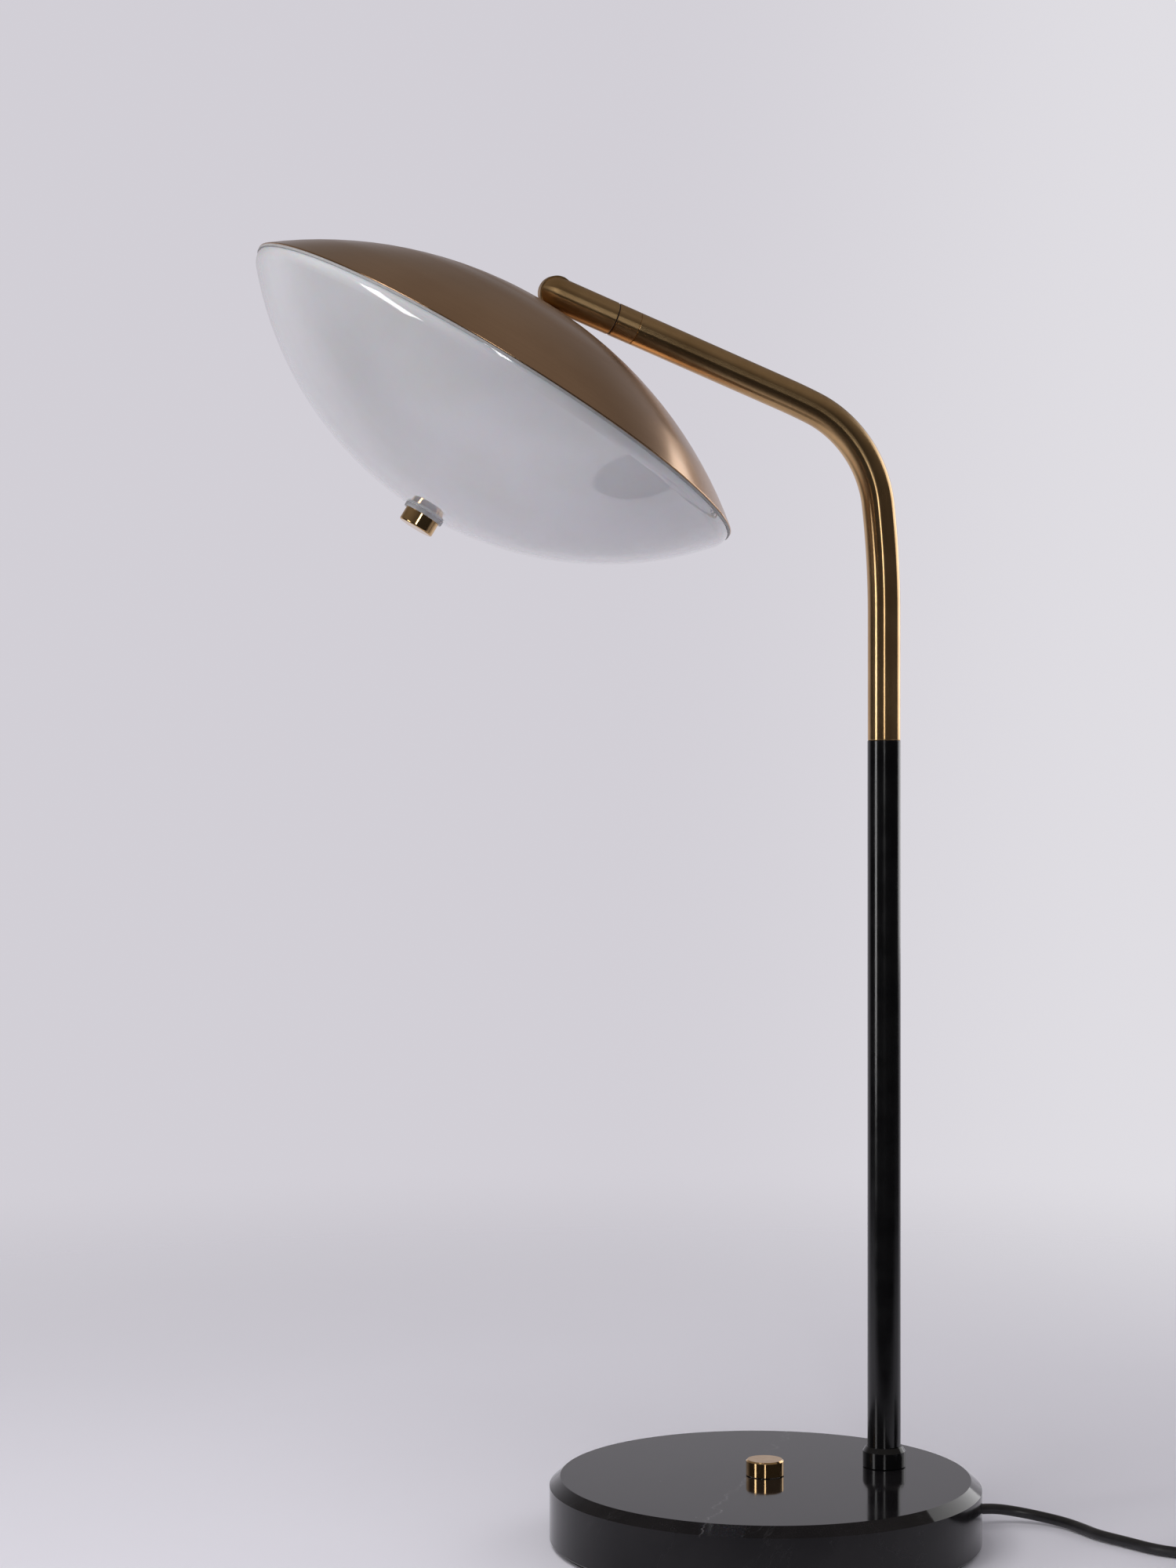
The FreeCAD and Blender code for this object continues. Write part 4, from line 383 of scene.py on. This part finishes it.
def newMaterial(name, **constants):
    material = bpy.data.materials.new(name)
    material.use_nodes = True
    tree = material.node_tree
    tree.nodes.clear()
    shader = addNode(tree, "ShaderNodeBsdfPrincipled", constants)
    addNode(tree, "ShaderNodeOutputMaterial", {"Surface": shader.outputs[0]})
    return material, tree, shader


def objectPlace(tree, origin=None, upAxis=None):
    # object coordinates, moved to an origin and turned so that an axis becomes the third one
    place = addNode(tree, "ShaderNodeTexCoord").outputs["Object"]
    if origin is not None:
        turn = Vector((0, 0, 1)).rotation_difference(upAxis).inverted()
        back = -(turn @ Vector(origin))
        place = addNode(tree, "ShaderNodeMapping", {
            "Vector": place, "Location": back, "Rotation": turn.to_euler()}).outputs[0]
    return place


def attribute(tree, name):
    return addNode(tree, "ShaderNodeAttribute", attribute_name=name).outputs["Vector"]


def stretched(tree, shader, direction, amount):
    # polishing lines square to a direction of the piece stretch its highlights that way
    turned = addNode(tree, "ShaderNodeVectorTransform", {"Vector": direction}, vector_type="VECTOR",
                     convert_from="OBJECT", convert_to="WORLD").outputs[0]
    tree.links.new(turned, shader.inputs["Tangent"])
    shader.inputs["Anisotropic"].default_value = amount


def blendColors(tree, factor, first, second):
    return addNode(tree, "ShaderNodeMix", {0: factor, 6: first, 7: second}, data_type="RGBA").outputs[2]


def ranged(tree, value, low, high, fromLow=0.3, fromHigh=0.7):
    limits = {0: value, 1: fromLow, 2: fromHigh, 3: low, 4: high}
    return addNode(tree, "ShaderNodeMapRange", limits).outputs[0]


def bumped(tree, shader, height, depth):
    # height of 1 stands for a rise of depth metres
    bump = addNode(tree, "ShaderNodeBump", {"Height": height, "Distance": depth, "Strength": 1.0})
    tree.links.new(bump.outputs[0], shader.inputs["Normal"])


def setColor(tree, shader, color):
    tree.links.new(color, shader.inputs["Base Color"])


def setRoughness(tree, shader, value):
    tree.links.new(value, shader.inputs["Roughness"])


# brushed brass: warm antique metal with lines along the tube and slight tarnish
satinBrass = {"bright": (0.66, 0.44, 0.22, 1), "tarnish": (0.44, 0.27, 0.12, 1), "rough": (0.21, 0.28),
              "stretch": 1.0, "lineWidth": 0.003, "lineLength": 0.09, "grain": 0.20, "depth": 0.000002,
              "stainSize": 0.02, "stain": 0.55}


def makeBrass(name, s, axis=None):
    material, tree, shader = newMaterial(name, Metallic=1.0)
    place = objectPlace(tree, pinPlace, axis) if axis else attribute(tree, "lie")
    stretched(tree, shader, axis or attribute(tree, "run"), s["stretch"])
    lines = useGroup(tree, brushedLines, Vector=place, Width=s["lineWidth"], Length=s["lineLength"])
    stain = useGroup(tree, mottle, Vector=place, Size=s["stainSize"], Low=0.0, High=s["stain"])["Value"]
    grain = ranged(tree, lines["Fine"], 0.0, s["grain"])
    color = blendColors(tree, stain, s["bright"], s["tarnish"])
    color = blendColors(tree, grain, color, s["tarnish"])
    setColor(tree, shader, color)
    setRoughness(tree, shader, ranged(tree, lines["Broad"], *s["rough"]))
    bumped(tree, shader, lines["Fine"], s["depth"])
    return material


hingeBrass = dict(satinBrass, rough=(0.30, 0.38))
brassArm = makeBrass("brassArm", satinBrass)
brassSwivel = makeBrass("brassSwivel", hingeBrass, swivelAxis)
brassTongue = makeBrass("brassTongue", dict(hingeBrass, stretch=0.5), tiltAxis)

# turned and polished brass: knob and finial
turnedBrass = {"bright": (0.74, 0.50, 0.25, 1), "shade": (0.56, 0.34, 0.15, 1), "rough": (0.05, 0.12),
               "pitch": 0.00022, "depth": 0.000003, "smearSize": 0.006, "smear": 0.6}


def makeTurnedBrass(name, s, origin, upAxis):
    material, tree, shader = newMaterial(name, Metallic=1.0)
    place = objectPlace(tree, origin, upAxis)
    rings = useGroup(tree, turnedRings, Vector=place, Pitch=s["pitch"])
    smear = useGroup(tree, mottle, Vector=place, Size=s["smearSize"], Low=0.0, High=s["smear"])["Value"]
    setColor(tree, shader, blendColors(tree, smear, s["bright"], s["shade"]))
    setRoughness(tree, shader, ranged(tree, smear, *s["rough"], fromLow=0.0, fromHigh=s["smear"]))
    bumped(tree, shader, rings["Rings"], s["depth"])
    return material


knobBrass = makeTurnedBrass("knobBrass", turnedBrass, Vector((0, 0, 0)), Vector((0, 0, 1)))
finialBrass = makeTurnedBrass("finialBrass", turnedBrass, headPlace, headUp)

# spun dome: bronze gold with faint rings from the spinning and a clear lacquer
spunDome = {"bright": (0.60, 0.38, 0.225, 1), "deep": (0.46, 0.275, 0.15, 1), "rough": (0.20, 0.27),
            "stretch": 0.75, "pitch": 0.0006, "depth": 0.000003, "coat": 0.12, "coatRough": 0.12,
            "cloudSize": 0.05, "cloud": 0.5, "ringShade": 0.18}


def makeDomeMetal(s):
    material, tree, shader = newMaterial("spunBronze", Metallic=1.0, **{
        "Coat Weight": s["coat"], "Coat Roughness": s["coatRough"]})
    place = objectPlace(tree, headPlace, headUp)
    fromMiddle = addNode(tree, "ShaderNodeVectorMath", {0: objectPlace(tree), 1: headPlace},
                         operation="SUBTRACT").outputs[0]
    along = addNode(tree, "ShaderNodeVectorMath", {0: fromMiddle, 1: headUp},
                    operation="PROJECT").outputs[0]
    outwards = addNode(tree, "ShaderNodeVectorMath", {0: fromMiddle, 1: along},
                       operation="SUBTRACT").outputs[0]
    stretched(tree, shader, outwards, s["stretch"])
    rings = useGroup(tree, turnedRings, Vector=place, Pitch=s["pitch"])
    cloud = useGroup(tree, mottle, Vector=place, Size=s["cloudSize"], Low=0.0, High=s["cloud"])["Value"]
    color = blendColors(tree, cloud, s["bright"], s["deep"])
    color = blendColors(tree, ranged(tree, rings["Rings"], 0.0, s["ringShade"]), color, s["deep"])
    setColor(tree, shader, color)
    setRoughness(tree, shader, ranged(tree, rings["Bands"], *s["rough"]))
    bumped(tree, shader, rings["Rings"], s["depth"])
    return material


domeMetal = makeDomeMetal(spunDome)

# opal glass: even white body under a glossy skin, with faint flow marks
opal = {"body": (0.70, 0.695, 0.73, 1), "warm": (0.66, 0.655, 0.665, 1), "rough": (0.06, 0.10),
        "coat": 1.0, "coatRough": 0.02, "coatIndex": 1.6, "index": 1.5, "scatter": 0.25,
        "scatterDepth": 0.004, "flowSize": 0.06, "rippleSize": 0.025, "rippleDepth": 0.000012}


def makeOpal(s):
    material, tree, shader = newMaterial("opalGlass", **{
        "Coat Weight": s["coat"], "Coat Roughness": s["coatRough"], "Coat IOR": s["coatIndex"],
        "Subsurface Weight": s["scatter"], "Subsurface Scale": s["scatterDepth"], "IOR": s["index"]})
    place = objectPlace(tree, headPlace, headUp)
    flow = useGroup(tree, mottle, Vector=place, Size=s["flowSize"], Low=0.0, High=1.0)["Value"]
    setColor(tree, shader, blendColors(tree, flow, s["body"], s["warm"]))
    setRoughness(tree, shader, ranged(tree, flow, *s["rough"], fromLow=0.0, fromHigh=1.0))
    ripple = useGroup(tree, mottle, Vector=place, Size=s["rippleSize"], Low=0.0, High=1.0)["Value"]
    bumped(tree, shader, ripple, s["rippleDepth"])
    return material


opalGlass = makeOpal(opal)

# black stone: polished, with clouds, one long fine vein that passes the knob, and small white specks
stone = {
    "black": (0.005, 0.0045, 0.0055, 1), "cloud": (0.010, 0.009, 0.010, 1), "cloudSize": 0.03,
    "rough": (0.05, 0.11), "shine": 0.3,
    "vein": (0.30, 0.29, 0.30, 1), "veinFrom": (-0.045, -0.056), "veinTo": (0.044, 0.082),
    "veinEdge": (0.0001, 0.0006), "veinStrength": 0.55, "veinTop": (0.026, 0.0315),
    "wanderScale": 55.0, "wanderRough": 0.7, "wander": 0.022, "brokenSize": 0.012, "broken": (0.05, 0.75),
    "hairScale": 14.0, "hairRough": 0.65, "hairTwist": 1.2, "hairWidth": 0.006, "hairStrength": 0.05,
    "speckScale": 45.0, "speckEdge": (0.008, 0.02), "speckStrength": 0.6,
    "dust": (0.5, 0.48, 0.46, 1), "dustAmount": 0.02,
}


def veinLine(tree, s, place):
    # strength of the long vein: its middle wanders either side of the line between its two ends
    start, end = np.array(s["veinFrom"]), np.array(s["veinTo"])
    angle = math.atan2(*(end - start)[::-1])
    moved = addNode(tree, "ShaderNodeMapping", {"Vector": place, "Location": (*-start, 0.0)}).outputs[0]
    turned = addNode(tree, "ShaderNodeMapping", {"Vector": moved, "Rotation": (0, 0, -angle)}).outputs[0]
    along, across, _ = addNode(tree, "ShaderNodeSeparateXYZ", {0: turned}).outputs
    wander = addNode(tree, "ShaderNodeTexNoise", {
        "W": along, "Scale": s["wanderScale"], "Detail": 4.0, "Roughness": s["wanderRough"]},
        noise_dimensions="1D").outputs[0]
    offset = calc(tree, "MULTIPLY", calc(tree, "SUBTRACT", wander, 0.5), s["wander"])
    distance = calc(tree, "ABSOLUTE", calc(tree, "SUBTRACT", across, offset))
    line = ranged(tree, distance, s["veinStrength"], 0.0, *s["veinEdge"])
    rise = addNode(tree, "ShaderNodeSeparateXYZ", {0: place}).outputs[2]
    return calc(tree, "MULTIPLY", line, ranged(tree, rise, 0.0, 1.0, *s["veinTop"]))


def hairLines(tree, s, place):
    # strength of the hair veins: they run where a twisted noise passes its middle value
    threads = addNode(tree, "ShaderNodeTexNoise", {
        "Vector": place, "Scale": s["hairScale"], "Detail": 6.0, "Roughness": s["hairRough"],
        "Distortion": s["hairTwist"]}).outputs[0]
    ridge = calc(tree, "ABSOLUTE", calc(tree, "SUBTRACT", threads, 0.5))
    return ranged(tree, ridge, s["hairStrength"], 0.0, 0.0, s["hairWidth"])


def makeStone(s):
    material, tree, shader = newMaterial("blackStone", **{"Specular IOR Level": s["shine"]})
    place = objectPlace(tree)
    cloud = useGroup(tree, mottle, Vector=place, Size=s["cloudSize"], Low=0.0, High=1.0)["Value"]
    low, high = s["broken"]
    broken = useGroup(tree, mottle, Vector=place, Size=s["brokenSize"], Low=low, High=high)["Value"]
    color = blendColors(tree, cloud, s["black"], s["cloud"])
    for line in (veinLine(tree, s, place), hairLines(tree, s, place)):
        color = blendColors(tree, calc(tree, "MULTIPLY", line, broken), color, s["vein"])
    cells = addNode(tree, "ShaderNodeTexVoronoi", {"Vector": place, "Scale": s["speckScale"]})
    speck = ranged(tree, cells.outputs["Distance"], s["speckStrength"], 0.0, *s["speckEdge"])
    color = blendColors(tree, speck, color, s["vein"])
    dust = useGroup(tree, settledDust, Vector=place, Amount=s["dustAmount"])["Mask"]
    setColor(tree, shader, blendColors(tree, dust, color, s["dust"]))
    setRoughness(tree, shader, ranged(tree, cloud, *s["rough"], fromLow=0.0, fromHigh=1.0))
    return material


blackStone = makeStone(stone)

# an even coat has these unless it names its own: the size of its patches and its settled dust
fineCoat = {"patch": 0.015, "dust": 0.03, "dustColor": (0.45, 0.43, 0.41, 1)}

# satin black paint on the pole and its collar
blackPaint = {"color": (0.0025, 0.0025, 0.003, 1), "worn": (0.005, 0.005, 0.0055, 1), "rough": (0.13, 0.2),
              "grain": 0.004, "depth": 0.000004, "dust": 0.0}


def makeFineCoat(name, s, metallic=0.0):
    # even coat: two close tones in patches, and a fine grain in the surface
    s = {**fineCoat, **s}
    material, tree, shader = newMaterial(name, Metallic=metallic)
    place = objectPlace(tree)
    patch = useGroup(tree, mottle, Vector=place, Size=s["patch"], Low=0.0, High=1.0)["Value"]
    color = blendColors(tree, patch, s["color"], s["worn"])
    dust = useGroup(tree, settledDust, Vector=place, Amount=s["dust"])["Mask"]
    setColor(tree, shader, blendColors(tree, dust, color, s["dustColor"]))
    setRoughness(tree, shader, ranged(tree, patch, *s["rough"], fromLow=0.0, fromHigh=1.0))
    grain = useGroup(tree, mottle, Vector=place, Size=s["grain"], Low=0.0, High=1.0)["Value"]
    bumped(tree, shader, grain, s["depth"])
    return material


paintBlack = makeFineCoat("paintBlack", blackPaint)
mouldedBlack = makeFineCoat("mouldedBlack", {
    "color": (0.012, 0.012, 0.013, 1), "worn": (0.020, 0.020, 0.021, 1), "rough": (0.38, 0.55),
    "grain": 0.0004, "depth": 0.00003})
feltPad = makeFineCoat("feltPad", {
    "color": (0.012, 0.012, 0.012, 1), "worn": (0.03, 0.03, 0.03, 1), "rough": (0.9, 1.0),
    "grain": 0.0009, "depth": 0.0002, "patch": 0.002})
zincSteel = makeFineCoat("zincSteel", {
    "color": (0.62, 0.62, 0.60, 1), "worn": (0.50, 0.50, 0.50, 1), "rough": (0.24, 0.42),
    "grain": 0.0008, "depth": 0.00001, "patch": 0.004}, metallic=1.0)
insertBrass = makeFineCoat("insertBrass", {
    "color": (0.72, 0.52, 0.26, 1), "worn": (0.58, 0.40, 0.18, 1), "rough": (0.2, 0.35),
    "grain": 0.0006, "depth": 0.00001, "patch": 0.003}, metallic=1.0)
darkWasher = makeFineCoat("darkWasher", {
    "color": (0.012, 0.010, 0.009, 1), "worn": (0.022, 0.018, 0.015, 1), "rough": (0.45, 0.6),
    "grain": 0.0004, "depth": 0.00001, "patch": 0.002})
trayMetal = makeFineCoat("trayMetal", {
    "color": (0.75, 0.75, 0.76, 1), "worn": (0.68, 0.68, 0.70, 1), "rough": (0.25, 0.4),
    "grain": 0.0006, "depth": 0.00001}, metallic=1.0)
boardWhite = makeFineCoat("boardWhite", {
    "color": (0.80, 0.81, 0.80, 1), "worn": (0.76, 0.77, 0.75, 1), "rough": (0.3, 0.45),
    "grain": 0.0005, "depth": 0.00001})
phosphorYellow = makeFineCoat("phosphorYellow", {
    "color": (0.82, 0.66, 0.18, 1), "worn": (0.76, 0.58, 0.12, 1), "rough": (0.4, 0.6),
    "grain": 0.0003, "depth": 0.00002, "patch": 0.001})
whitePlastic = makeFineCoat("whitePlastic", {
    "color": (0.78, 0.78, 0.75, 1), "worn": (0.72, 0.71, 0.68, 1), "rough": (0.35, 0.5),
    "grain": 0.0005, "depth": 0.00002})
sealRubber = makeFineCoat("sealRubber", {
    "color": (0.34, 0.33, 0.33, 1), "worn": (0.40, 0.39, 0.385, 1), "rough": (0.45, 0.6),
    "grain": 0.0006, "depth": 0.00002, "patch": 0.004})
innerSheath = makeFineCoat("innerSheath", {
    "color": (0.66, 0.66, 0.64, 1), "worn": (0.58, 0.58, 0.56, 1), "rough": (0.4, 0.55),
    "grain": 0.0006, "depth": 0.00002})
nickel = makeFineCoat("nickel", {
    "color": (0.72, 0.70, 0.66, 1), "worn": (0.60, 0.58, 0.54, 1), "rough": (0.12, 0.25),
    "grain": 0.0006, "depth": 0.000005, "patch": 0.003}, metallic=1.0)

# lead: soft black sheath with faint length marks from its extrusion
sheath = {"color": (0.010, 0.0095, 0.0105, 1), "rubbed": (0.022, 0.021, 0.022, 1), "rough": (0.30, 0.46),
          "lineWidth": 0.0006, "lineLength": 0.02, "depth": 0.00003, "rubSize": 0.008, "rub": 0.8}


def makeSheath(s):
    material, tree, shader = newMaterial("leadSheath")
    place = attribute(tree, "lie")
    lines = useGroup(tree, brushedLines, Vector=place, Width=s["lineWidth"], Length=s["lineLength"])
    rubbed = useGroup(tree, mottle, Vector=place, Size=s["rubSize"], Low=0.0, High=s["rub"])["Value"]
    setColor(tree, shader, blendColors(tree, rubbed, s["color"], s["rubbed"]))
    setRoughness(tree, shader, ranged(tree, lines["Broad"], *s["rough"]))
    bumped(tree, shader, lines["Fine"], s["depth"])
    return material


leadSheath = makeSheath(sheath)

# clear washer under the bowl: frosted plastic
clearRing = {"color": (0.86, 0.86, 0.88, 1), "haze": (0.82, 0.82, 0.84, 1), "hazeSize": 0.003,
             "rough": (0.25, 0.4), "clear": 0.55, "index": 1.49}


def makeClearRing(s):
    material, tree, shader = newMaterial("clearRing", **{
        "Transmission Weight": s["clear"], "IOR": s["index"]})
    place = objectPlace(tree, headPlace, headUp)
    haze = useGroup(tree, mottle, Vector=place, Size=s["hazeSize"], Low=0.0, High=1.0)["Value"]
    setColor(tree, shader, blendColors(tree, haze, s["color"], s["haze"]))
    setRoughness(tree, shader, ranged(tree, haze, *s["rough"], fromLow=0.0, fromHigh=1.0))
    return material


clearPlastic = makeClearRing(clearRing)

# which finish each record slot gets, and the nodes that take their own
slotFinish = {
    "honed_stone": blackStone, "soft_pad": feltPad, "zinc_steel": zincSteel, "brass_insert": insertBrass,
    "satin_brass": brassSwivel, "polished_brass": knobBrass, "black_tube": paintBlack,
    "dark_washer": darkWasher, "bronze_dome": domeMetal, "tray_aluminium": trayMetal,
    "board_white": boardWhite, "phosphor": phosphorYellow, "white_plastic": whitePlastic,
    "opal_glass": opalGlass, "clear_ring": clearPlastic, "grey_rubber": sealRubber,
    "black_plastic": mouldedBlack, "cord_sheath": mouldedBlack, "inner_sheath": innerSheath,
    "plug_metal": nickel,
}
nodeFinish = {"hinge_tongue": brassTongue, "finial_cap": finialBrass}
for name, piece in nodes.items():
    for place in piece.material_slots:
        finish = slotFinish[place.material.name.split(".")[0]]
        place.material = nodeFinish.get(name, finish)
mainsLead.data.materials.append(leadSheath)
armTube.data.materials.append(brassArm)
print("materials ready")


# the room: in reflections its pale part is a low, narrow backdrop, the ceiling is dim and the
# viewer's side is dark
room = {"pale": (0.645, 0.625, 0.675, 1), "dark": (0.03, 0.028, 0.028, 1), "ceiling": (0.20, 0.18, 0.165, 1),
        "fill": (0.23, 0.225, 0.24, 1), "bright": (0.745, 0.73, 0.77, 1),
        "backdrop": (0.3053, 0.9522, 0.0), "right": (0.9522, -0.3053, 0.0),
        "lighter": (0.0, 0.2), "edge": (0.25, 0.75), "top": (-0.05, 0.65), "ceilingFrom": (0.1, 0.7)}


def facing(tree, vector, direction):
    return addNode(tree, "ShaderNodeVectorMath", {0: vector, 1: direction},
                   operation="DOT_PRODUCT").outputs["Value"]


def eased(tree, value, limits, low=0.0, high=1.0):
    # a smooth step from low to high as the value passes between its two limits
    return addNode(tree, "ShaderNodeMapRange", {0: value, 1: limits[0], 2: limits[1], 3: low, 4: high},
                   interpolation_type="SMOOTHSTEP").outputs[0]


# floor: a pale disc that fades into the background away from the lamp
ground = {"color": (0.88, 0.86, 0.92, 1), "patch": (0.70, 0.69, 0.74, 1), "patchScale": 5.0,
          "patchStrength": 0.06, "middle": 0.001, "far": 1.6, "fade": (0.25, 1.4), "rings": 60, "sides": 96,
          "nearEdge": (-0.35, -0.1)}


def makeFloor(s):
    # rings whose radius grows with the square of their number
    radius = np.linspace(s["middle"], 1, s["rings"])[:, None] ** 2 * s["far"]
    angle = np.linspace(0, 2 * math.pi, s["sides"], endpoint=False)[None]
    points = np.stack([radius * np.cos(angle), radius * np.sin(angle), np.zeros((s["rings"], s["sides"]))],
                      axis=-1)
    faces = gridFaces(s["rings"], s["sides"]).tolist()
    floor = meshObject("floor", points, faces + [list(range(s["sides"]))], None)
    material = bpy.data.materials.new("paleFloor")
    material.use_nodes = True
    tree = material.node_tree
    tree.nodes.clear()
    place = addNode(tree, "ShaderNodeTexCoord").outputs["Object"]
    reach = addNode(tree, "ShaderNodeVectorMath", {0: place}, operation="LENGTH").outputs["Value"]
    fade = eased(tree, reach, s["fade"])
    patches = addNode(tree, "ShaderNodeTexNoise", {
        "Vector": place, "Scale": s["patchScale"], "Detail": 3.0}).outputs[0]
    tone = blendColors(tree, ranged(tree, patches, 0.0, s["patchStrength"]), s["color"], s["patch"])
    # polished things see the floor end in the dark on the viewer's side
    near = ranged(tree, facing(tree, place, room["backdrop"]), 1.0, 0.0, *s["nearEdge"])
    mirrored = addNode(tree, "ShaderNodeLightPath").outputs["Is Glossy Ray"]
    gone = calc(tree, "MULTIPLY", near, mirrored)
    cloth = addNode(tree, "ShaderNodeBsdfDiffuse", {"Color": blendColors(tree, gone, tone, room["dark"])})
    clear = addNode(tree, "ShaderNodeBsdfTransparent")
    mixed = addNode(tree, "ShaderNodeMixShader", {0: fade, 1: cloth.outputs[0], 2: clear.outputs[0]})
    addNode(tree, "ShaderNodeOutputMaterial", {"Surface": mixed.outputs[0]})
    floor.data.materials.append(material)
    return floor


makeFloor(ground)


# world: pale for the camera, and the room in reflections
def makeWorld(s):
    world = bpy.data.worlds.new("studio")
    bpy.context.scene.world = world
    world.use_nodes = True
    tree = world.node_tree
    tree.nodes.clear()
    direction = addNode(tree, "ShaderNodeTexCoord").outputs["Generated"]
    rise = addNode(tree, "ShaderNodeSeparateXYZ", {0: direction}).outputs[2]
    behind = eased(tree, facing(tree, direction, s["backdrop"]), s["edge"])
    low = eased(tree, rise, s["top"], 1.0, 0.0)
    dim = blendColors(tree, ranged(tree, rise, 0.0, 1.0, *s["ceilingFrom"]), s["dark"], s["ceiling"])
    mirrored = blendColors(tree, calc(tree, "MULTIPLY", behind, low), dim, s["pale"])
    # the wall that the camera sees is a little lighter towards the viewer's right
    lighter = eased(tree, facing(tree, direction, s["right"]), s["lighter"])
    wall = blendColors(tree, lighter, s["pale"], s["bright"])
    path = addNode(tree, "ShaderNodeLightPath").outputs
    seen = blendColors(tree, path["Is Camera Ray"], s["fill"], wall)
    glossy = calc(tree, "MAXIMUM", path["Is Glossy Ray"], path["Is Transmission Ray"])
    color = blendColors(tree, glossy, seen, mirrored)
    light = addNode(tree, "ShaderNodeBackground", {"Color": color, "Strength": 1.0})
    addNode(tree, "ShaderNodeOutputWorld", {"Surface": light.outputs[0]})


makeWorld(room)

# lamps: soft boxes, each (bearing from the viewer's side, distance, height of its middle, height it
# looks at, width, height, brightness); bearings grow towards the viewer's right, and polished things
# don't show the unmirrored one
softBoxes = {
    "leftStrip": (-63, 1.3, 0.45, 0.45, 0.24, 0.74, 6.5),
    "frontWindow": (-2, 2.4, 1.15, 1.15, 0.26, 1.40, 7.0),
    "rightScreen": (128, 1.5, 0.72, 0.72, 1.20, 1.05, 1.5),
    "topLeft": (-55, 0.9, 1.80, 0.20, 1.10, 1.10, 4.2),
}
unmirrored = "topLeft"


def makeSoftBox(name, bearing, distance, rise, aimRise, width, height, brightness):
    towards, right = -Vector(room["backdrop"]), Vector(room["right"])
    angle = math.radians(bearing)
    spot = (towards * math.cos(angle) + right * math.sin(angle)) * distance
    lamp = bpy.data.lights.new(name, "AREA")
    lamp.shape = "RECTANGLE"
    lamp.size, lamp.size_y = width, height
    lamp.energy = brightness * math.pi * width * height
    holder = bpy.data.objects.new(name, lamp)
    holder.location = (spot.x, spot.y, rise)
    aim = Vector((-spot.x, -spot.y, aimRise - rise))
    holder.rotation_euler = aim.to_track_quat("-Z", "Y").to_euler()
    holder.visible_camera = False
    holder.visible_glossy = name != unmirrored
    bpy.context.collection.objects.link(holder)


for name, values in softBoxes.items():
    makeSoftBox(name, *values)
print("stage and lamps ready")
